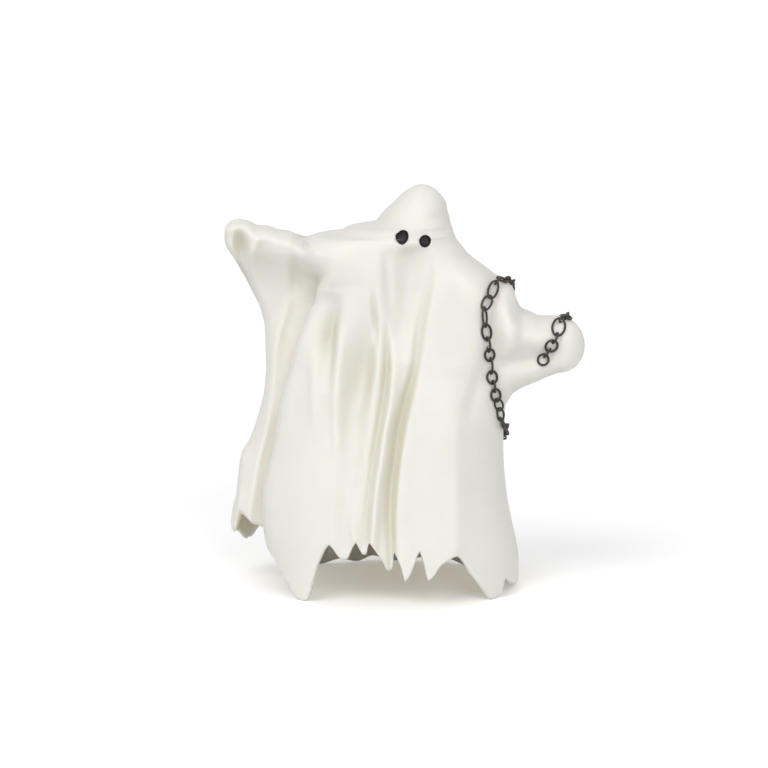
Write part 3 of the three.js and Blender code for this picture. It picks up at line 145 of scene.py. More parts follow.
BACK_FOLDS = [
    (2.6, 3.4, (-5.5, 66.0, 0), (-7.0, 52.0, 0.9), (-10.0, 36.0, 1.3), (-14.0, 18.0, 1.5),
     (-17.4, 2.0, 1.3)),
    (1.6, 1.8, (-3.2, 62.0, 0), (-4.6, 48.0, -1.0), (-7.0, 32.0, -1.1), (-11.0, 12.0, -1.2),
     (-12.6, 4.0, -1.0)),
    (2.4, 1.8, (-0.6, 68.0, 0), (-1.4, 54.0, 0.9), (-2.4, 36.0, 1.3), (-5.0, 18.0, 1.2),
     (-6.0, 2.0, 1.0)),
    (1.5, 1.7, (2.0, 60.0, 0), (1.6, 44.0, -1.1), (0.6, 26.0, -1.2), (-1.0, 8.0, -1.0)),
    (2.2, 3.0, (4.0, 69.0, 0), (4.8, 54.0, 0.9), (5.4, 38.0, 1.4), (6.4, 20.0, 1.5),
     (7.0, 3.0, 1.3)),
    (1.5, 1.5, (8.6, 56.0, 0), (9.8, 40.0, -1.1), (11.0, 22.0, -1.2), (11.2, 6.0, -0.9)),
    (2.4, 2.4, (10.0, 62.0, 0), (12.6, 46.0, 0.8), (14.4, 26.0, 1.2), (15.6, 4.0, 1.1)),
    (1.6, 1.6, (-10.8, 60.0, 0), (-14.4, 44.0, -0.9), (-18.4, 24.0, -1.1), (-20.8, 6.0, -0.8)),
    (2.0, 2.0, (-14.0, 56.0, 0), (-18.4, 40.0, 0.7), (-22.4, 20.0, 0.9), (-24.0, 6.0, 0.7)),
]
# Straight runs between two points of a fold, and how many widths from it a fold is still felt
FOLD_RUNS = 5
FOLD_REACH = 3.2
# Folds fade out towards the sides of the sheet, over this share of its depth
SIDE_FADE = 0.35
# Folds stand out forwards and backwards more than sideways: the share of the sideways part
FOLD_SIDEWAYS = 0.35
SMALLEST_FOLDED_SIZE = 4.0

# The sheet's walls and the hollow under it
SHEET_WALL = 2.2
HEM_WALL = 1.3
HEM_TAPER = 14.0
HOLLOW_SPRING = 54.0
HOLLOW_TOP = 67.0
# Rows of the hollow crowd towards its top by this power
HOLLOW_CROWDING = 1.3
# Heights of the rows from the shoulder to the head, by share, up to where the crown starts
CROWN_SHARE = 0.7
HEAD_RISE = [(0, SHOULDER), (0.2, 69.3), (0.55, 72.4), (CROWN_SHARE, CROWN)]

# The raised arm: its outer edge as (height, x), its top and hems as (x, height), and its half
# thickness and middle plane as (height, y)
DRAPE_EDGE = [
    (8, -34.6), (11, -34.6), (15.0, -33.5), (18.6, -32.9), (21, -32.5), (25.8, -30.8),
    (30.6, -29.4), (35.4, -28.3), (38, -27.8), (42.6, -27.4), (49.9, -27.5), (52.3, -27.6),
    (54.7, -28.1), (57.1, -28.9), (59.5, -30.1), (61.9, -31.2), (64.3, -32.8), (66.7, -34.3),
    (69.1, -35.2), (71.2, -35.2), (72.4, -34.6), (73.2, -33.4), (73.5, -32.4),
]
RAISED_ARM_TOP = [
    (-32.4, 73.5), (-30.3, 73.0), (-28.8, 72.2), (-27.2, 72.1), (-26.0, 71.8), (-24.6, 71.3),
    (-22.4, 71.0), (-21.2, 70.3), (-19.8, 69.5), (-18.4, 69.3), (-10, 69.3),
]
DRAPE_FRONT_HEM = [
    (-34.6, 10.2), (-34.1, 10.2), (-32.7, 14.7), (-30.6, 13.0), (-28.4, 11.8), (-25, 10.4),
    (-10, 9),
]
DRAPE_BACK_HEM = [
    (-34.6, 10.2), (-33.8, 11.6), (-32.6, 8.6), (-31.4, 7.0), (-30.2, 8.6), (-28.4, 10.4),
    (-25.5, 5.0), (-24, 4.6), (-21, 9), (-10, 8),
]
DRAPE_HALF = [
    (5, 6.2), (15, 5.8), (30, 4.6), (45, 3.6), (58, 3.1), (64, 3.5), (68, 4.4), (74, 4.4),
]
DRAPE_MIDDLE = [
    (5, 5.2), (15, 4.6), (30, 3.6), (45, 2.6), (56, 1.7), (64, -0.2), (68, -1.5), (74, -2.2),
]
# How far the arm's front widens towards its root, by height
DRAPE_FLARE = [(5, 0.4), (30, 0.5), (45, 0.6), (56, 0.8), (61, 2.2), (65, 4.0), (70, 4.5)]
DRAPE_FLARE_SPREAD = 2.6
DRAPE_FRONT_FOLDS = [
    (1.4, 1.4, (-32.4, 72.4, 0), (-32.2, 70.6, -2.0), (-32.0, 68.0, -2.8), (-31.6, 65.0, -1.6),
     (-31.2, 62.0, 0)),
    (1.0, 1.0, (-27.9, 72.0, 0), (-28.6, 70.2, 0.6), (-29.6, 67.6, 0.8), (-30.2, 65.0, 0.7),
     (-30.4, 61.0, 0)),
    (2.0, 2.4, (-27.0, 71.0, 0), (-26.8, 68.0, -0.6), (-26.6, 64.0, -0.7), (-26.4, 57.0, 0)),
    (1.2, 1.2, (-21.3, 69.0, 0), (-21.1, 66.0, -0.9), (-21.1, 62.0, -1.1), (-21.0, 58.0, 0)),
    (1.1, 1.1, (-22.6, 59.0, 0), (-23.4, 55.0, 0.6), (-25.2, 49.0, 0.8), (-26.2, 42.0, 0.9),
     (-27.2, 33.0, 1.0), (-28.9, 25.0, 1.0), (-30.4, 16.0, 0.8), (-31.0, 10.0, 0.5)),
]
DRAPE_BACK_FOLDS = [
    (1.4, 1.4, (-30.4, 71.0, 0), (-28.4, 62.0, 0.8), (-27.4, 50.0, 0.9), (-29.0, 36.0, 0.9),
     (-31.2, 14.0, 0.9)),
    (1.6, 1.6, (-25.0, 70.0, 0), (-23.4, 56.0, -0.8), (-25.0, 36.0, -0.9), (-27.4, 14.0, -0.8)),
]
RAISED_ARM_ROUNDING = 2.6
DRAPE_EDGE_ROUNDING = 3.2
DRAPE_SPREAD = 1.6
DRAPE_WALL = 1.7
DRAPE_HOLLOW_SPRING = 46.0
DRAPE_HOLLOW_TOP = 57.0

# The bent arm: top and underside as (x, height), half depth and middle plane as (x, y)
BENT_ARM_TOP = [
    (14, 62.5), (18, 62.0), (20, 61.2), (21.3, 59.8), (22.2, 57.2), (23.0, 55.9), (24.8, 55.2),
    (26.4, 54.5), (28.2, 54.5), (31.1, 54.4),
]
BENT_ARM_UNDERSIDE = [
    (14, 35), (20.3, 38.1), (21.2, 39.2), (23.2, 40.5), (25.8, 41.6), (27.7, 42.5),
    (29.7, 43.3), (31.1, 43.8),
]
BENT_ARM_HALF = [(14, 8.2), (20, 7.6), (24, 6.6), (28, 5.7), (31.1, 5.1)]
BENT_ARM_MIDDLE = [(14, -2.6), (20, -3.4), (26, -3.9), (35.3, -4.8)]
BENT_ARM_FRONT_FOLDS = [
    (2.2, 2.2, (18.8, 61.0, 0.6), (19.2, 57.0, 1.4), (19.8, 53.0, 1.5), (20.6, 50.0, 1.2),
     (21.4, 48.0, 0)),
    (2.5, 2.5, (22.4, 52.8, 0.9), (24.6, 52.2, 1.3), (27.0, 51.4, 1.1), (29.5, 50.6, 0)),
    (0.9, 0.9, (20.3, 60.0, 0), (20.9, 58.2, -0.9), (21.7, 55.8, -0.9), (22.3, 53.8, 0)),
    (1.6, 1.6, (17.0, 45.0, 0), (20.0, 46.0, -0.8), (24.0, 46.8, -1.0), (28.0, 47.6, -0.7),
     (30.5, 48.2, 0)),
]
BENT_ARM_BACK_FOLDS = [
    (2.2, 2.2, (17.6, 60.0, 0.4), (18.6, 54.0, 1.0), (20.6, 48.0, 1.0), (23.6, 43.4, 0.4)),
    (1.6, 1.6, (20.8, 55.0, 0), (23.6, 53.0, -0.8), (27.0, 50.4, -0.8), (29.6, 48.4, 0)),
]
BENT_ARM_SQUARENESS = 0.72
BENT_ARM_ROOT_X = 19.0
BENT_ARM_CAP_X = 30.2
BENT_ARM_TIP_X = 35.3
BENT_ARM_TIP_DROP = 0.1
BENT_ARM_CAP_START = 0.75

# How deep the arms' roots end in the sheet's wall, and how high the raised arm's root follows it
ROOT_DEPTH = 2.0
ARM_ROOT_TOP = SHOULDER + 2
# Soft joints: their width by height, and the x up to which the sheet's and the arm's points move
RAISED_ARM_BLEND = [
    (5, 0.4), (56, 0.4), (59, 0.8), (62, 2.6), (64, 5.0), (67, 5.0), (69.5, 1.6), (74, 0.5),
]
RAISED_ARM_BACK_BLEND = [(5, 0.4), (60, 0.8), (74, 0.5)]
BENT_ARM_BLEND = [(30, 2.5), (58, 2.5), (63, 1.0)]
RAISED_ARM_JOINT_X = (-9, -28)
BENT_ARM_JOINT_X = (11, 27)
# The steps of a move onto the soft surface, the share of the width inside the other piece over
# which it fades, and the smallest slope that a step divides by
SOFTEN_STEPS = 4
SOFTEN_FADE = 0.25
SMALLEST_SLOPE = 0.3

# Eyes: centre, size, flattened corner and how much wider they are at the top, then their pits
EYES = {
    "left_eye": {"x": -0.53, "z": 70.95, "width": 2.45, "height": 2.55, "notch": 0.18,
                 "taper": 0.22},
    "right_eye": {"x": 3.93, "z": 70.1, "width": 2.2, "height": 2.25, "notch": 0.05,
                  "taper": 0.1},
}
EYE_NOTCH_TURN = 2.2
EYE_NOTCH_SPREAD = 0.12
EYE_PIT_DEPTH = 1.1
# A pit's wall lies between these shares of the eye's outline, and the paint goes just past it
EYE_PIT_WALL = (0.62, 1.16)
EYE_PAINT_REACH = 1.02
EYE_PAINT = 0.06
EYE_SEAT = 0.3

# The chain: see CHAIN_ROUTE for what its letters and numbers mean
LINK_WIRE = 0.46
LINK_WIDTH = 2.45
WRIST_LINKS = 6
WRIST_LINK_WIDTH = 2.9
EDGE_LINK_WIDTH = 1.9
LINK_PLAY = 0.08
LINK_LIFT = 0.36
LINK_PROBE = 0.8
LINK_PROBE_ALLOWANCE = 0.45
PROBE_START = 120.0
# Where links hook into each other, each with the roll in degrees of the link that starts there:
# F is seen from the front and B from behind, as (x, height), T from above as (x, y), and R from
# the right as (y, height).
CHAIN_ROUTE = [
    ("F", 26.6, 46.0, -20), ("F", 27.3, 47.5, 70), ("F", 28.1, 48.8, 0), ("F", 28.8, 50.4, 90),
    ("F", 29.5, 51.7, 0), ("F", 30.3, 54.1, 88), ("T", 31.3, -6.3, 0), ("T", 31.8, -4.0, 90),
    ("T", 31.6, -1.5, 0), ("B", 30.9, 52.5, 90), ("B", 29.4, 50.3, 0), ("B", 27.7, 48.5, 90),
    ("B", 25.5, 47.4, 0), ("B", 23.2, 47.5, 90), ("B", 21.4, 48.9, 0), ("B", 20.4, 51.2, 90),
    ("B", 20.1, 53.7, 0), ("B", 20.2, 56.2, 90), ("B", 20.4, 58.2, 0), ("T", 20.8, 0.9, 90),
    ("T", 20.8, -1.3, 0), ("T", 20.2, -3.2, 90), ("T", 19.4, -4.9, 5), ("T", 18.3, -6.5, 90),
    ("T", 17.6, -8.6, 5), ("F", 16.2, 59.4, 20), ("F", 15.1, 57.4, -30), ("F", 15.4, 54.0, 10),
    ("F", 15.9, 51.4, 90), ("F", 16.1, 49.0, 0), ("F", 16.6, 47.2, 90), ("F", 16.7, 44.6, 0),
    ("F", 17.1, 42.6, 90), ("F", 17.3, 40.9, 0), ("F", 17.9, 39.0, 50), ("F", 18.3, 37.0, 90),
    ("F", 18.5, 35.0, -30), ("F", 19.5, 32.9, 45), ("R", -7.3, 33.7, -45), ("R", -4.9, 32.8, 40),
    ("R", -2.6, 31.7, -50), ("R", -0.3, 30.5, 35), ("R", 2.1, 29.5, -55), ("R", 4.5, 28.6, 35),
    ("R", 6.9, 27.8, 0),
]

# How finely the meshes are cut
FRONT_COLUMNS = 460
BACK_COLUMNS = 260
SKIRT_ROWS = 240
HEAD_ROWS = 130
HOLLOW_ROWS = 70
RIM_ROWS = 6
ARM_COLUMNS = 240
ARM_ROWS = 220
ARM_TOP_ROWS = 40
ARM_TOP_START = 0.88
ARM_HOLLOW_ROWS = 60
BENT_SIDES = 180
BENT_ROWS = 130
LINK_STEPS = 40
LINK_SIDES = 14
EYE_RINGS = 12
EYE_SPOKES = 48


def curve(knots):
    """A smooth function through (t, value) knots that never overshoots them."""
    t, v = np.array([k[:2] for k in knots], float).T
    h = np.diff(t)
    slopes = np.diff(v) / h
    tangents = np.concatenate([slopes[:1], np.zeros(len(t) - 2), slopes[-1:]])
    for i in range(1, len(t) - 1):
        if slopes[i - 1] * slopes[i] > 0:
            w1, w2 = 2 * h[i] + h[i - 1], h[i] + 2 * h[i - 1]
            tangents[i] = (w1 + w2) / (w1 / slopes[i - 1] + w2 / slopes[i])

    def value(s):
        s = np.clip(np.asarray(s, float), t[0], t[-1])
        i = np.clip(np.searchsorted(t, s, side="right") - 1, 0, len(h) - 1)
        u = (s - t[i]) / h[i]
        rise = u * u * (3 - 2 * u)
        bend = tangents[i] * u * (1 - u) ** 2 - tangents[i + 1] * u * u * (1 - u)
        return v[i] * (1 - rise) + v[i + 1] * rise + h[i] * bend

    return value


def power(value, exponent):
    """A power that keeps its value's sign."""
    return np.sign(value) * np.abs(value) ** exponent


def smoothstep(x, low, high):
    t = np.clip((x - low) / (high - low), 0, 1)
    return t * t * (3 - 2 * t)


def rounded_rise(depth, radius):
    """The share of its full size that a rounded edge has reached at a depth behind it."""
    return np.sqrt(1 - (1 - np.clip(depth / radius, 0, 1)) ** 2)


left_side, right_side = curve(LEFT_SIDE), curve(RIGHT_SIDE)
front_side, back_side = curve(FRONT_SIDE), curve(BACK_SIDE)
head_x, head_y = curve(HEAD_X), curve(HEAD_Y)
front_squareness = curve(SQUARENESS)


def unit(x, y):
    size = np.maximum(np.hypot(x, y), 1e-9)
    return x / size, y / size


def squareness(z, front):
    """How square the section is at height z, on its front or its back."""
    return np.where(front, front_squareness(z), 1.0)


def section(z):
    """Centre and half sizes of the sheet's plain section at height z."""
    low = np.minimum(z, CROWN)
    left, right, front, back = left_side(low), right_side(low), front_side(low), back_side(low)
    shrink = np.sqrt(np.clip((TOP - z) / (TOP - CROWN), 0, 1))
    skirt = z <= CROWN
    x = np.where(skirt, (left + right) / 2, head_x(z))
    y = np.where(skirt, (front + back) / 2, head_y(z))
    return x, y, (right - left) / 2 * shrink, (back - front) / 2 * shrink


def smooth_path(points):
    """A Catmull-Rom path through the points, cut into short straight runs."""
    p = np.array(points, float)
    p = np.vstack([2 * p[0] - p[1], p, 2 * p[-1] - p[-2]])
    runs = []
    for a, b, c, d in zip(p[:-3], p[1:-2], p[2:-1], p[3:]):
        for t in np.arange(FOLD_RUNS) / FOLD_RUNS:
            runs.append(0.5 * (2 * b + (c - a) * t + (2 * a - 5 * b + 4 * c - d) * t**2
                               + (3 * b - a - 3 * c + d) * t**3))
    return np.array(runs + [p[-2]])


def fold_lift(fold, x, z):
    """How far one fold lifts the surface at (x, z): its nearest point gives the lift."""
    left, right, path = fold[0], fold[1], smooth_path(fold[2:])
    reach = FOLD_REACH * max(left, right)
    lift = np.zeros(x.shape)
    near = ((x > path[:, 0].min() - reach) & (x < path[:, 0].max() + reach)
            & (z > path[:, 1].min() - reach) & (z < path[:, 1].max() + reach))
    if not near.any():
        return lift
    px, pz = x[near], z[near]
    best = np.full(px.shape, np.inf)
    height, side = np.zeros(px.shape), np.zeros(px.shape)
    for a, b in zip(path[:-1], path[1:]):
        dx, dz = b[0] - a[0], b[1] - a[1]
        t = np.clip(((px - a[0]) * dx + (pz - a[1]) * dz) / (dx * dx + dz * dz), 0, 1)
        ex, ez = px - a[0] - t * dx, pz - a[1] - t * dz
        distance = ex * ex + ez * ez
        closer = distance < best
        best = np.where(closer, distance, best)
        height = np.where(closer, a[2] + t * (b[2] - a[2]), height)
        side = np.where(closer, (ex * dz - ez * dx) * np.sign(dz), side)
    lift[near] = height * np.exp(-best / np.where(side < 0, left, right) ** 2)
    return lift


def sum_folds(folds, x, z):
    return sum((fold_lift(fold, x, z) for fold in folds), np.zeros(np.shape(x)))


def eye_radius(eye, x, z):
    """Distance from the eye's centre in radii of its outline."""
    v = np.clip((z - eye["z"]) / (eye["height"] / 2), -2, 2)
    u = (x - eye["x"]) / (eye["width"] / 2) / (1 + eye["taper"] * v)
    corner = np.cos(np.arctan2(v, u) - EYE_NOTCH_TURN)
    return np.hypot(u, v) / (1 - eye["notch"] * np.exp(-(1 - corner) / EYE_NOTCH_SPREAD))


def eye_pits(x, z):
    """Depth of the pits that the eyes lie in: steep at the outline, dished below."""
    depth = np.zeros(np.shape(x))
    for eye in EYES.values():
        r = eye_radius(eye, x, z)
        depth += EYE_PIT_DEPTH * (1 - smoothstep(r, *EYE_PIT_WALL))
    return depth


def sheet_point(angle, z, grow=0.0, pits=True):
    """Points (..., 3) of the sheet's surface at an angle and a height, moved out by grow."""
    cx, cy, a, b = section(z)
    c, s = np.cos(angle), np.sin(angle)
    q = squareness(z, s < 0)
    across = np.sign(s) * np.clip(1 - np.abs(c) ** (2 / q), 0, 1) ** (q / 2)
    x = cx + a * c
    front = sum_folds(FRONT_FOLDS, x, z) * smoothstep(-s, 0, SIDE_FADE)
    back = sum_folds(BACK_FOLDS, x, z) * smoothstep(s, 0, SIDE_FADE)
    lift = (front + back) * np.clip(np.minimum(a, b) / SMALLEST_FOLDED_SIZE, 0, 1)
    if pits:
        lift = lift - np.where(s < 0, eye_pits(x, z), 0)
    nx, ny = b * power(c, 2 / q - 1), a * power(across, 2 / q - 1)
    side, depth = unit(nx, ny)
    fold_side, fold_depth = unit(side * FOLD_SIDEWAYS, depth)
    return np.stack([x + lift * fold_side + grow * side,
                     cy + b * across + lift * fold_depth + grow * depth, z + 0 * x], -1)


def section_turn(x, z):
    """The angle from +X at which the section at height z has the given x."""
    cx, _, a, _ = section(np.asarray(z, float))
    return np.arccos(np.clip((x - cx) / a, -1, 1))


def hem_knots():
    """The hem's knots by angle, once round and one more at each end."""
    def turn(x):
        return float(section_turn(x, HEM_REFERENCE_HEIGHT))

    knots = sorted([(-turn(x), z) for x, z in FRONT_HEM] + [(turn(x), z) for x, z in BACK_HEM]
                   + [(math.radians(degrees), z) for degrees, z in RIGHT_HEM])
    return ([(knots[-1][0] - 2 * math.pi, knots[-1][1])] + knots
            + [(knots[0][0] + 2 * math.pi, knots[0][1])])


HEM = hem_knots()
hem_curve = curve(HEM)


def hem_height(angle):
    straight = np.interp(angle, [k[0] for k in HEM], [k[1] for k in HEM])
    return hem_curve(angle) * (1 - HEM_STRAIGHTNESS) + straight * HEM_STRAIGHTNESS


def wall_x(y, z, side):
    """x of a point inside the sheet's wall at (y, z), on its left (-1) or right (1) side."""
    cx, cy, a, b = section(z)
    q = squareness(z, y < cy)
    across = np.clip(1 - np.abs((y - cy) / b) ** (2 / q), 0, 1) ** (q / 2)
    return cx + side * (a * across - ROOT_DEPTH)


def rim(outer, inner):
    """Loops of a rounded lip under an outer and an inner edge of the same columns."""
    middle, arm = (outer + inner) / 2, (outer - inner) / 2
    half = np.linalg.norm(arm, axis=-1, keepdims=True)
    down = np.array([0, 0, -1.0])
    turns = np.linspace(0, math.pi, RIM_ROWS + 2)[1:-1]
    return [middle + arm * math.cos(t) + down * half * math.sin(t) for t in turns]


def sheet_columns():
    front = np.linspace(-math.pi, 0, FRONT_COLUMNS, endpoint=False)
    back = np.linspace(0, math.pi, BACK_COLUMNS, endpoint=False)
    return np.concatenate([front, back])


def sheet_outside(angles):
    """Rows of the sheet's outer surface from the hem to just below its crown."""
    hem = hem_height(angles)
    lip = HEM_WALL / 2
    share = np.linspace(0, 1, SKIRT_ROWS, endpoint=False)[:, None]
    skirt = (hem + lip) + (SHOULDER - hem - lip) * share
    rise = curve(HEAD_RISE)
    head = []
    for t in np.arange(HEAD_ROWS) / HEAD_ROWS:
        closing = (1 - t) / (1 - CROWN_SHARE)
        head.append(float(rise(t)) if t < CROWN_SHARE else TOP - (TOP - CROWN) * closing**2)
    heights = np.vstack([skirt, np.repeat(np.array(head)[:, None], len(angles), 1)])
    return sheet_point(np.broadcast_to(angles, heights.shape), heights)


def sheet_inside(angles):
    """Rows of the hollow's surface from just below its top to the hem."""
    hem = hem_height(angles)
    down = (np.arange(1, HOLLOW_ROWS + 1) / HOLLOW_ROWS)[:, None] ** HOLLOW_CROWDING
    depth = HOLLOW_TOP + (hem + HEM_WALL / 2 - HOLLOW_TOP) * down
    wall = HEM_WALL + (SHEET_WALL - HEM_WALL) * smoothstep(depth - hem, 0, HEM_TAPER)
    inner = sheet_point(np.broadcast_to(angles, depth.shape), depth, -wall, pits=False)
    above = np.maximum(0, depth - HOLLOW_SPRING) / (HOLLOW_TOP - HOLLOW_SPRING)
    arch = np.sqrt(1 - above**2)
    cx, cy, _, _ = section(depth)
    inner[..., 0] = cx + (inner[..., 0] - cx) * arch
    inner[..., 1] = cy + (inner[..., 1] - cy) * arch
    return inner


def sheet_loops(outer, inner):
    """All loops of the sheet's shell from the top of its hollow, round the hem, to its crown."""
    top_x, top_y, _, _ = section(np.array(HOLLOW_TOP))
    hollow_pole = np.array([[top_x, top_y, HOLLOW_TOP]])
    crown_pole = np.array([[float(head_x(TOP)), float(head_y(TOP)), TOP]])
    lips = rim(outer[0], inner[-1])[::-1]
    return [hollow_pole, *inner, *lips, *outer, crown_pole]


drape_edge, raised_arm_top = curve(DRAPE_EDGE), curve(RAISED_ARM_TOP)
drape_front_hem, drape_back_hem = curve(DRAPE_FRONT_HEM), curve(DRAPE_BACK_HEM)
drape_half, drape_middle, drape_flare = curve(DRAPE_HALF), curve(DRAPE_MIDDLE), curve(DRAPE_FLARE)
HAND_X, HAND_TOP = RAISED_ARM_TOP[0]
DRAPE_CORNER_X = DRAPE_FRONT_HEM[0][0]


def drape_lift(front, x, z):
    return np.where(front, sum_folds(DRAPE_FRONT_FOLDS, x, z), sum_folds(DRAPE_BACK_FOLDS, x, z))


def drape_hem(front, x):
    return np.where(front, drape_front_hem(x), drape_back_hem(x))


def arm_root_x(front, z):
    """x of the raised arm's root, in the sheet's wall where the arm's surface meets it."""
    y = drape_middle(z) + np.where(front, -drape_half(z) - drape_flare(z), drape_half(z))
    return wall_x(y, np.minimum(z, ARM_ROOT_TOP), -1)


def raised_arm_outside(share, rise):
    """The raised arm's outer surface: share runs from its back root over its edge to its front
    root, rise from hem to top."""
    front, u = share > 0.5, np.abs(2 * share - 1)
    corner_hem = float(drape_front_hem(DRAPE_CORNER_X))
    edge_height = corner_hem + (HAND_TOP - corner_hem) * rise
    outer = drape_edge(edge_height)
    x = outer + (arm_root_x(front, edge_height) - outer) * u**DRAPE_SPREAD
    hem = drape_hem(front, x) + DRAPE_WALL / 2
    top = raised_arm_top(np.maximum(x, HAND_X))
    z = hem + (top - hem) * rise
    edge = rounded_rise(x - outer, DRAPE_EDGE_ROUNDING)
    crown = rounded_rise(top - z, RAISED_ARM_ROUNDING)
    half = drape_half(z) * edge * crown + drape_lift(front, x, z) * np.minimum(edge, crown)
    half = half + np.where(front, drape_flare(z) * crown * u**DRAPE_FLARE_SPREAD, 0)
    return np.stack([x, drape_middle(z) + np.where(front, -half, half), z], -1)


def raised_arm_inside(share, rise):
    """The hollow in the drape, a wall's thickness inside it, arched at its top."""
    front, u = share > 0.5, np.abs(2 * share - 1)
    corner_hem = float(drape_front_hem(DRAPE_CORNER_X))
    edge_height = corner_hem + (DRAPE_HOLLOW_TOP - corner_hem) * rise
    outer = drape_edge(edge_height) + DRAPE_WALL
    x = outer + (arm_root_x(front, edge_height) - outer) * u**DRAPE_SPREAD
    hem = drape_hem(front, x) + DRAPE_WALL / 2
    z = hem + (DRAPE_HOLLOW_TOP - hem) * rise
    edge = rounded_rise(x - outer, DRAPE_EDGE_ROUNDING)
    above = np.maximum(0, z - DRAPE_HOLLOW_SPRING) / (DRAPE_HOLLOW_TOP - DRAPE_HOLLOW_SPRING)
    arch = np.sqrt(1 - np.clip(above, 0, 1) ** 2)
    half = np.maximum(0, drape_half(z) + drape_lift(front, x, z) - DRAPE_WALL) * edge * arch
    return np.stack([x, drape_middle(z) + np.where(front, -half, half), z], -1)


def raised_arm_grid(surface, rise):
    share = np.linspace(0, 1, ARM_COLUMNS + 1)[None, :]
    return surface(*np.broadcast_arrays(share, rise[:, None]))


def arm_rises():
    """Shares of the arm's height at its rows, closer together near its rounded top."""
    low = np.linspace(0, ARM_TOP_START, ARM_ROWS, endpoint=False)
    rounding = np.sin(np.linspace(0, 1, ARM_TOP_ROWS) * math.pi / 2)
    high = ARM_TOP_START + (1 - ARM_TOP_START) * rounding
    return np.concatenate([low, high])


def raised_arm_rows(outside, inside):
    """Rows of the arm from the top of its hollow, round the hem, to its top ridge."""
    return [*inside, *rim(outside[0], inside[-1])[::-1], *outside]


bent_arm_top, bent_arm_underside = curve(BENT_ARM_TOP), curve(BENT_ARM_UNDERSIDE)
bent_arm_half, bent_arm_middle = curve(BENT_ARM_HALF), curve(BENT_ARM_MIDDLE)


def squared(value):
    return power(value, BENT_ARM_SQUARENESS)


def bent_arm_point(turn, share):
    """The bent arm's surface: turn goes round its section, share from its root to its tip."""
    past = np.maximum(0, share - BENT_ARM_CAP_START) / (1 - BENT_ARM_CAP_START)
    cap = past * math.pi / 2
    c, s = np.cos(turn), np.sin(turn)
    root_top, root_under = bent_arm_top(BENT_ARM_ROOT_X), bent_arm_underside(BENT_ARM_ROOT_X)
    root_z = (root_top + root_under) / 2 + (root_top - root_under) / 2 * squared(s)
    root_y = bent_arm_middle(BENT_ARM_ROOT_X) + bent_arm_half(BENT_ARM_ROOT_X) * squared(c)
    root = wall_x(root_y, root_z, 1)
    along = root + (BENT_ARM_CAP_X - root) * np.minimum(1, share / BENT_ARM_CAP_START)
    x = along + (BENT_ARM_TIP_X - BENT_ARM_CAP_X) * np.sin(cap)
    narrow = np.cos(cap)
    top, under = bent_arm_top(along), bent_arm_underside(along)
    z = ((top + under) / 2 - BENT_ARM_TIP_DROP * np.sin(cap)
         + (top - under) / 2 * narrow * squared(s))
    folds = np.where(c < 0, sum_folds(BENT_ARM_FRONT_FOLDS, x, z),
                     sum_folds(BENT_ARM_BACK_FOLDS, x, z))
    lift = folds * c * np.minimum(1, 2 * narrow)
    y = bent_arm_middle(x) + bent_arm_half(along) * narrow * squared(c) + lift
    return np.stack([x, y, z], -1)


def bent_arm_outside():
    turns = np.linspace(0, 2 * math.pi, BENT_SIDES, endpoint=False)[None, :]
    shares = np.linspace(0, 1, BENT_ROWS, endpoint=False)[:, None]
    return bent_arm_point(*np.broadcast_arrays(turns, shares))


def bent_arm_loops(outside):
    tip = bent_arm_point(np.zeros(1), np.ones(1))
    root_middle = outside[0].mean(0, keepdims=True)
    return [root_middle, *outside, tip]


# Soft joints: where two pieces meet, both are pulled onto one smooth surface
def surface_tree(rows, closed):
    """A search tree over a grid of surface points whose faces point outwards."""
    count, columns = rows.shape[:2]
    i = np.arange(count - 1)[:, None] * columns
    j = np.arange(columns if closed else columns - 1)[None, :]
    k = (j + 1) % columns
    faces = np.stack([i + j, i + k, i + columns + k, i + columns + j], -1).reshape(-1, 4)
    return BVHTree.FromPolygons(rows.reshape(-1, 3).tolist(), faces.tolist())


def distances(tree, points):
    """Signed distances from a surface, above zero outside it, and their gradients."""
    distance, gradient = np.zeros(len(points)), np.zeros((len(points), 3))
    for i, point in enumerate(points):
        place, normal, _, _ = tree.find_nearest(Vector(point))
        away = Vector(point) - place
        side = 1 if away.dot(normal) >= 0 else -1
        distance[i] = side * away.length
        gradient[i] = side * away.normalized() if away.length > 1e-4 else normal
    return distance, gradient


def distance_grid(tree, rows, near):
    """Plain distances from a surface of the points of a grid that are marked as near."""
    grid = np.full(rows.shape[:2], np.inf)
    grid[near] = [tree.find_nearest(Vector(point))[3] for point in rows[near]]
    return grid


def soften(rows, own_tree, other_tree, near, reach):
    """Moves the surface points near another surface onto the smooth union of the two. reach is
    how far from the crease, by height, the union departs from them."""
    near = near & (distance_grid(other_tree, rows, near) < reach(rows[..., 2]))
    points = rows[near]
    for _ in range(SOFTEN_STEPS):
        width = reach(points[:, 2])
        own, own_slope = distances(own_tree, points)
        other, other_slope = distances(other_tree, points)
        overlap = np.maximum(width - np.abs(own - other), 0) / width
        union = np.minimum(own, other) - overlap**2 * width / 4
        share = np.where(own < other, overlap / 2, 1 - overlap / 2)[:, None]
        slope = (1 - share) * own_slope + share * other_slope
        size = np.maximum((slope**2).sum(1), SMALLEST_SLOPE)
        shown = smoothstep(other, -SOFTEN_FADE * width, 0) * (overlap > 0)
        points = points - (shown * union / size)[:, None] * slope
    rows[near] = points


# Meshes
def mesh_object(name, points, faces):
    """A smooth object from points in millimetres and faces as lists of point numbers."""
    mesh = bpy.data.meshes.new(name)
    mesh.from_pydata((np.asarray(points) * MM).tolist(), [], faces)
    mesh.polygons.foreach_set("use_smooth", np.ones(len(faces), bool))
    mesh.validate()
    mesh.update()
    obj = bpy.data.objects.new(name, mesh)
    bpy.context.scene.collection.objects.link(obj)
    return obj


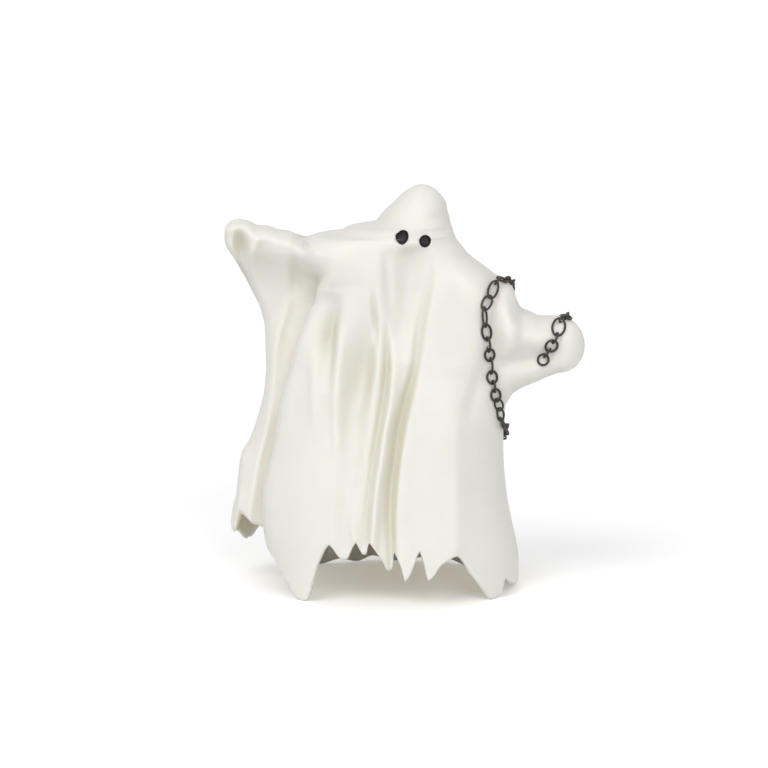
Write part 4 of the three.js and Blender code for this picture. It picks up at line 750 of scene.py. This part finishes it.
def loft(name, loops):
    """A closed mesh through loops of points; a loop of one point closes an end."""
    starts = np.cumsum([0] + [len(loop) for loop in loops])
    faces = []
    for i in range(1, len(loops)):
        lower, upper = starts[i - 1], starts[i]
        count = max(len(loops[i - 1]), len(loops[i]))
        j = np.arange(count)
        k = (j + 1) % count
        if len(loops[i - 1]) == 1:
            faces += np.stack([0 * j + lower, upper + k, upper + j], 1).tolist()
        elif len(loops[i]) == 1:
            faces += np.stack([lower + j, lower + k, 0 * j + upper], 1).tolist()
        else:
            faces += np.stack([lower + j, lower + k, upper + k, upper + j], 1).tolist()
    return mesh_object(name, np.vstack(loops), faces)


def sleeve(name, rows):
    """A closed mesh through open rows of points whose first and last rows are folded shut."""
    count = len(rows[0])
    last = len(rows) - 1
    faces = []

    def fold(row, j):
        return np.minimum(j, count - 1 - j) if row in (0, last) else j

    for i in range(last):
        j = np.arange(count)
        k = (j + 1) % count
        corners = [i * count + fold(i, j), i * count + fold(i, k),
                   (i + 1) * count + fold(i + 1, k), (i + 1) * count + fold(i + 1, j)]
        for face in np.stack(corners, 1).tolist():
            unique = list(dict.fromkeys(face))
            if len(unique) > 2:
                faces.append(unique)
    return mesh_object(name, np.vstack(rows), faces)


# Materials
def srgb(*channels):
    """A linear colour from the screen's values of 0 to 255."""
    linear = [c / 255 / 12.92 if c <= 10 else ((c / 255 + 0.055) / 1.055) ** 2.4
              for c in channels]
    return (*linear, 1.0)


class Nodes:
    """A material's node tree, with short calls to add and join nodes."""

    def __init__(self, name):
        self.material = bpy.data.materials.new(name)
        self.material.use_nodes = True
        self.tree = self.material.node_tree
        self.shader = self.tree.nodes["Principled BSDF"]

    def add(self, kind, **values):
        node = self.tree.nodes.new(kind)
        for key, value in values.items():
            setattr(node, key, value)
        return node

    def set(self, node, **values):
        for key, value in values.items():
            node.inputs[key.replace("_", " ")].default_value = value
        return node

    def join(self, source, target):
        self.tree.links.new(source, target)

    def feed(self, name, source):
        """Joins a source to an input of the shader."""
        self.join(source, self.shader.inputs[name])

    def noise(self, scale, detail=3.0, roughness=0.5):
        """Noise in object space, with its scale in features per metre."""
        space = self.add("ShaderNodeTexCoord")
        noise = self.set(self.add("ShaderNodeTexNoise"), Scale=scale, Detail=detail,
                         Roughness=roughness)
        self.join(space.outputs["Object"], noise.inputs["Vector"])
        return noise.outputs["Fac"]

    def ramp(self, source, low, high, start=0.0, end=1.0):
        """Maps the values from start to end onto low to high."""
        node = self.add("ShaderNodeMapRange")
        self.set(node, From_Min=start, From_Max=end, To_Min=low, To_Max=high)
        self.join(source, node.inputs["Value"])
        return node.outputs["Result"]

    def blend(self, source, first, second):
        """A colour between first and second, each a colour or a socket, by a 0 to 1 value."""
        node = self.add("ShaderNodeMix", data_type="RGBA")
        sockets = [socket for socket in node.inputs if socket.type == "RGBA"]
        for socket, colour in zip(sockets, (first, second)):
            if isinstance(colour, tuple):
                socket.default_value = colour
            else:
                self.join(colour, socket)
        self.join(source, node.inputs["Factor"])
        return next(socket for socket in node.outputs if socket.type == "RGBA")

    def bump(self, source, strength, distance):
        node = self.set(self.add("ShaderNodeBump"), Strength=strength, Distance=distance)
        self.join(source, node.inputs["Height"])
        self.feed("Normal", node.outputs["Normal"])


def glow_plastic():
    """Off-white glow vinyl: slightly see-through, satin, with faint mottling and a soft skin,
    painted shade in its folds and a painted warm glow inside its hollow.
    """
    m = Nodes("glow_plastic")
    # The emission colour is the warm painted glow that lights the inside of the hollow, set below
    m.set(m.shader, Metallic=0.0, IOR=1.47, Subsurface_Weight=0.5, Subsurface_Scale=0.0018,
          Subsurface_Radius=(1.0, 0.8, 0.5), Emission_Color=srgb(244, 231, 204))
    mottle = m.blend(m.noise(120.0), srgb(234, 232, 225), srgb(239, 237, 231))
    hollow = m.add("ShaderNodeAmbientOcclusion", samples=8, only_local=True)
    m.set(hollow, Distance=0.015)
    # Painted shade: deep in the folds and other hollows that ambient occlusion finds, the colour
    # is painted darker and yellower
    shade = m.ramp(hollow.outputs["AO"], 1.0, 0.0, 0.5, 1.0)
    m.feed("Base Color", m.blend(shade, mottle, srgb(217, 213, 194)))
    # Painted light: inside the hollow, where ambient occlusion is strongest, the vinyl glows a
    # warm colour, standing in for the daylight that the thin wall lets through
    m.feed("Emission Strength", m.ramp(hollow.outputs["AO"], 0.3, 0.0, 0.15, 0.45))
    m.feed("Roughness", m.ramp(m.noise(900.0), 0.42, 0.56))
    m.bump(m.noise(2600.0, 4.0), 0.12, 0.0002)
    return m.material


def eye_paint():
    """Near-black brown paint, brushed into the pits."""
    m = Nodes("eye_paint")
    m.set(m.shader, Metallic=0.0, IOR=1.45)
    m.feed("Base Color", m.blend(m.noise(1500.0), srgb(14, 11, 8), srgb(34, 28, 22)))
    m.feed("Roughness", m.ramp(m.noise(2500.0), 0.3, 0.5))
    m.bump(m.noise(4000.0), 0.25, 0.0001)
    return m.material


def chain_paint():
    """Dark gunmetal paint, worn slightly lighter in patches."""
    m = Nodes("chain_paint")
    m.set(m.shader, Metallic=0.25, IOR=1.45)
    m.feed("Base Color", m.blend(m.noise(1100.0, 4.0), srgb(40, 36, 31), srgb(74, 68, 60)))
    m.feed("Roughness", m.ramp(m.noise(2000.0), 0.32, 0.55))
    m.bump(m.noise(5000.0), 0.3, 0.0001)
    return m.material


MATERIALS = {"glow_plastic": glow_plastic(), "eye_paint": eye_paint(),
             "chain_paint": chain_paint()}


def finish_piece(obj, slot, *nodes):
    """Gives a piece its material and stands it in for its CAD nodes."""
    obj.data.materials.append(MATERIALS[slot])
    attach(obj, "root")
    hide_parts(*nodes)


# The three castings, with their joints made soft before they are meshed
angles = sheet_columns()
skin = sheet_outside(angles)
arm_skin = raised_arm_grid(raised_arm_outside, arm_rises())
stub_skin = bent_arm_outside()
skin_tree, stub_tree = surface_tree(skin, True), surface_tree(stub_skin, True)
arm_tree = surface_tree(arm_skin, False)
for front, reach in ((True, curve(RAISED_ARM_BLEND)), (False, curve(RAISED_ARM_BACK_BLEND))):
    near = (skin[..., 0] < RAISED_ARM_JOINT_X[0]) & ((skin[..., 1] < 0) == front)
    soften(skin, skin_tree, arm_tree, near, reach)
    near = (arm_skin[..., 0] > RAISED_ARM_JOINT_X[1]) & ((arm_skin[..., 1] < 0) == front)
    soften(arm_skin, arm_tree, skin_tree, near, reach)
bent_reach = curve(BENT_ARM_BLEND)
soften(skin, skin_tree, stub_tree, skin[..., 0] > BENT_ARM_JOINT_X[0], bent_reach)
soften(stub_skin, stub_tree, skin_tree, stub_skin[..., 0] < BENT_ARM_JOINT_X[1], bent_reach)

arm_hollow = raised_arm_grid(raised_arm_inside,
                             np.sin(np.linspace(1, 0, ARM_HOLLOW_ROWS) * math.pi / 2))
sheet = loft("draped_sheet", sheet_loops(skin, sheet_inside(angles)))
raised_arm = sleeve("raised_arm_with_drape", raised_arm_rows(arm_skin, arm_hollow))
bent_arm = loft("bent_arm_stub", bent_arm_loops(stub_skin))
surfaces = [sheet, raised_arm, bent_arm]


def extent(objects):
    corners = np.array([v.co for o in objects for v in o.data.vertices])
    return corners.min(0), corners.max(0)


# The figurine's place: the middle of its outline stands over the origin, as the CAD part's does
lowest, highest = extent(surfaces)
SHIFT = np.array([-(lowest[0] + highest[0]) / 2, -(lowest[1] + highest[1]) / 2, 0])
trees = [BVHTree.FromPolygons([v.co for v in o.data.vertices],
                              [p.vertices for p in o.data.polygons]) for o in surfaces]

# Each view of a route point: the ray's start, its direction and the axes across it
VIEWS = {
    "F": (lambda x, z: (x, -PROBE_START, z), (0, 1, 0), ((1, 0, 0), (0, 0, 1))),
    "B": (lambda x, z: (x, PROBE_START, z), (0, -1, 0), ((1, 0, 0), (0, 0, 1))),
    "T": (lambda x, y: (x, y, PROBE_START), (0, 0, -1), ((1, 0, 0), (0, 1, 0))),
    "R": (lambda y, z: (PROBE_START, y, z), (-1, 0, 0), ((0, 1, 0), (0, 0, 1))),
}


def cast(origin, direction):
    """Distance in millimetres and normal of the first surface along a ray."""
    best = (math.inf, None)
    for tree in trees:
        _, normal, _, distance = tree.ray_cast(Vector(origin) * MM, Vector(direction))
        if distance is not None and distance / MM < best[0]:
            best = (distance / MM, np.array(normal))
    return best


def route_point(view, u, v):
    """Where a point of the route lies: over the highest spot that a link there would rest on."""
    start, towards, across = VIEWS[view]
    origin, direction = np.array(start(u, v), float), np.array(towards, float)
    reach, normal = math.inf, np.zeros(3)
    for p, q in ((0, 0), (1, 0), (-1, 0), (0, 1), (0, -1)):
        offset = LINK_PROBE * (p * np.array(across[0]) + q * np.array(across[1]))
        distance, face_normal = cast(origin + offset, direction)
        if face_normal is None:
            continue
        normal += face_normal * -np.sign(face_normal @ direction)
        reach = min(reach, distance + (LINK_PROBE_ALLOWANCE if p or q else 0))
    normal /= np.linalg.norm(normal)
    return origin + direction * reach + normal * LINK_LIFT, normal


def link_mesh(length, width):
    """One link: a round wire bent to an oval, along +X, flat in the XY plane."""
    ring = width / 2 - LINK_WIRE / 2
    stretch = length / 2 - LINK_WIRE / 2 - ring
    turn = np.linspace(0, 2 * math.pi, LINK_STEPS, endpoint=False)[:, None]
    side = np.linspace(0, 2 * math.pi, LINK_SIDES, endpoint=False)[None, :]
    radius = ring + LINK_WIRE / 2 * np.cos(side)
    points = np.stack([radius * np.cos(turn) + stretch * np.cos(turn), radius * np.sin(turn),
                       LINK_WIRE / 2 * np.sin(side) + 0 * turn], -1)
    faces = []
    for i in range(LINK_STEPS):
        for j in range(LINK_SIDES):
            k, m = (i + 1) % LINK_STEPS, (j + 1) % LINK_SIDES
            faces.append([i * LINK_SIDES + j, k * LINK_SIDES + j, k * LINK_SIDES + m,
                          i * LINK_SIDES + m])
    return points.reshape(-1, 3), faces


def chain_links():
    """The links of the chain, each between two points of its route."""
    hooks = [route_point(*entry[:3]) for entry in CHAIN_ROUTE]
    links = []
    for i, (start, end) in enumerate(zip(hooks[:-1], hooks[1:])):
        along = end[0] - start[0]
        length = np.linalg.norm(along) + 2 * LINK_WIRE + LINK_PLAY
        along /= np.linalg.norm(along)
        normal = start[1] + end[1]
        normal -= along * (normal @ along)
        normal /= np.linalg.norm(normal)
        roll = math.radians(CHAIN_ROUTE[i][3])
        width = WRIST_LINK_WIDTH if i < WRIST_LINKS else LINK_WIDTH
        width += (EDGE_LINK_WIDTH - width) * abs(math.sin(roll))
        wide = np.cross(normal, along) * math.cos(roll) + normal * math.sin(roll)
        axes = np.stack([along, wide, np.cross(along, wide)])
        points, faces = link_mesh(length, width)
        number = f"{i + 1:02d}"
        middle = (start[0] + end[0]) / 2
        link = mesh_object(f"painted_link_{number}", points @ axes + middle, faces)
        links.append((link, f"chain_link_{number}"))
    return links


def eye_piece(name, eye):
    """The painted floor of an eye's pit, a thin lens that follows it."""
    rings = (np.arange(1, EYE_RINGS + 1) / EYE_RINGS)[:, None]
    turns = np.linspace(0, 2 * math.pi, EYE_SPOKES, endpoint=False)[None, :]
    corner = np.cos(turns - EYE_NOTCH_TURN)
    size = EYE_PAINT_REACH * (1 - eye["notch"] * np.exp(-(1 - corner) / EYE_NOTCH_SPREAD))

    def layer(lift):
        v = size * rings * np.sin(turns)
        u = size * rings * np.cos(turns) * (1 + eye["taper"] * v)
        x, z = eye["x"] + eye["width"] / 2 * u, eye["z"] + eye["height"] / 2 * v
        middle_x, middle_z = np.array([eye["x"]]), np.array([eye["z"]])
        pole = sheet_point(-section_turn(middle_x, middle_z), middle_z, lift)
        return pole, sheet_point(-section_turn(x, z), z, lift)

    top_pole, top = layer(EYE_PAINT)
    low_pole, low = layer(-EYE_SEAT)
    return loft(name, [top_pole, *top, *low[::-1], low_pole])


pieces = [(sheet, "glow_plastic", ["sheet_body"]), (raised_arm, "glow_plastic", ["raised_arm"]),
          (bent_arm, "glow_plastic", ["bent_arm"])]
pieces += [(link, "chain_paint", [node]) for link, node in chain_links()]
pieces += [(eye_piece(f"painted_{name}", eye), "eye_paint", [name]) for name, eye in EYES.items()]
for obj, slot, nodes in pieces:
    obj.data.transform(Matrix.Translation(Vector(SHIFT)))
    finish_piece(obj, slot, *nodes)


# Camera, at the photograph's angle and distance: millimetres a pixel, and pixels across
PIXEL = 0.1975
PICTURE = 768
CAMERA_DISTANCE = 700.0
CAMERA_ELEVATION = math.radians(10)
CAMERA_TARGET = (-4.05, 0.0, 40.25)
SENSOR = 36.0


def add_camera():
    data = bpy.data.cameras.new("camera")
    camera = bpy.data.objects.new("camera", data)
    bpy.context.scene.collection.objects.link(camera)
    back = Vector((0, -math.cos(CAMERA_ELEVATION), math.sin(CAMERA_ELEVATION)))
    camera.location = (Vector(CAMERA_TARGET) + back * CAMERA_DISTANCE) * MM
    camera.rotation_euler = (-back).to_track_quat("-Z", "Y").to_euler()
    data.sensor_width = SENSOR
    data.lens = SENSOR * CAMERA_DISTANCE / (PICTURE * PIXEL)
    bpy.context.scene.camera = camera


def add_lamp(name, place, width, strength):
    """Light from a wide soft box far away, in the direction of a place; width in degrees."""
    data = bpy.data.lights.new(name, "SUN")
    data.angle = math.radians(width)
    data.energy = strength
    lamp = bpy.data.objects.new(name, data)
    bpy.context.scene.collection.objects.link(lamp)
    lamp.location = place
    lamp.rotation_euler = (-Vector(place)).to_track_quat("-Z", "Y").to_euler()


def math_node(tree, operation, first, second):
    """The result of an operation on two sockets, or on a socket and a value."""
    node = tree.nodes.new("ShaderNodeMath")
    node.operation = operation
    for socket, value in zip(node.inputs, (first, second)):
        if isinstance(value, float):
            socket.default_value = value
        else:
            tree.links.new(value, socket)
    return node.outputs[0]


def seen_strength(tree, strength):
    """A strength for the camera and mirror-like rays, and 0 for all others."""
    path = tree.nodes.new("ShaderNodeLightPath").outputs
    mirrored = math_node(tree, "MAXIMUM", path["Is Glossy Ray"], path["Is Transmission Ray"])
    seen = math_node(tree, "MAXIMUM", path["Is Camera Ray"], mirrored)
    return math_node(tree, "MULTIPLY", seen, strength)


def add_world(front, back):
    """Even light all round, stronger from the front than from the back."""
    world = bpy.data.worlds.new("studio")
    bpy.context.scene.world = world
    world.use_nodes = True
    tree = world.node_tree
    background = tree.nodes["Background"]
    background.inputs["Color"].default_value = (1, 1, 1, 1)
    space = tree.nodes.new("ShaderNodeTexCoord")
    axes = tree.nodes.new("ShaderNodeSeparateXYZ")
    level = tree.nodes.new("ShaderNodeMapRange")
    for socket, value in (("From Min", -1), ("From Max", 1), ("To Min", front), ("To Max", back)):
        level.inputs[socket].default_value = value
    tree.links.new(space.outputs["Generated"], axes.inputs["Vector"])
    tree.links.new(axes.outputs["Y"], level.inputs["Value"])
    total = math_node(tree, "ADD", seen_strength(tree, 1.0 - back), level.outputs["Result"])
    tree.links.new(total, background.inputs["Strength"])


# The floor's half size, and where the painted warm light that the vinyl throws back onto the
# floor near the figurine fades out, in metres
FLOOR_SIZE = 3.0
PAINTED_WARM_BOUNCE = (0.015, 0.034)
# How bright the floor shows to the camera beyond its own colour, and the world's light on the
# object from the front and from the back
FLOOR_GLOW = 0.34
WORLD_FRONT = 0.5
WORLD_BACK = 0.36


def add_floor(size, glow):
    mesh = bpy.data.meshes.new("floor")
    mesh.from_pydata([(-size, -size, 0), (size, -size, 0), (size, size, 0), (-size, size, 0)], [],
                     [(0, 1, 2, 3)])
    floor = bpy.data.objects.new("floor", mesh)
    bpy.context.scene.collection.objects.link(floor)
    m = Nodes("floor_white")
    m.set(m.shader, Base_Color=(0.9, 0.9, 0.9, 1), Roughness=0.9, Specular_IOR_Level=0.1)
    space = m.add("ShaderNodeTexCoord")
    reach = m.add("ShaderNodeVectorMath", operation="LENGTH")
    m.join(space.outputs["Object"], reach.inputs[0])
    # Painted light: close to the figurine the floor's glow is tinted warm, standing in for light
    # that the vinyl throws back and lets through
    near = m.ramp(reach.outputs["Value"], 0.0, 1.0, *PAINTED_WARM_BOUNCE)
    m.feed("Emission Color", m.blend(near, srgb(255, 246, 226), srgb(255, 255, 255)))
    m.feed("Emission Strength", seen_strength(m.tree, glow))
    mesh.materials.append(m.material)


add_camera()
add_lamp("key", (-0.28, -0.36, 0.50), 30, 1.0)
add_lamp("fill", (0.18, -0.62, 0.36), 30, 0.85)
add_world(WORLD_FRONT, WORLD_BACK)
add_floor(FLOOR_SIZE, FLOOR_GLOW)
bpy.context.scene.view_settings.view_transform = "Standard"
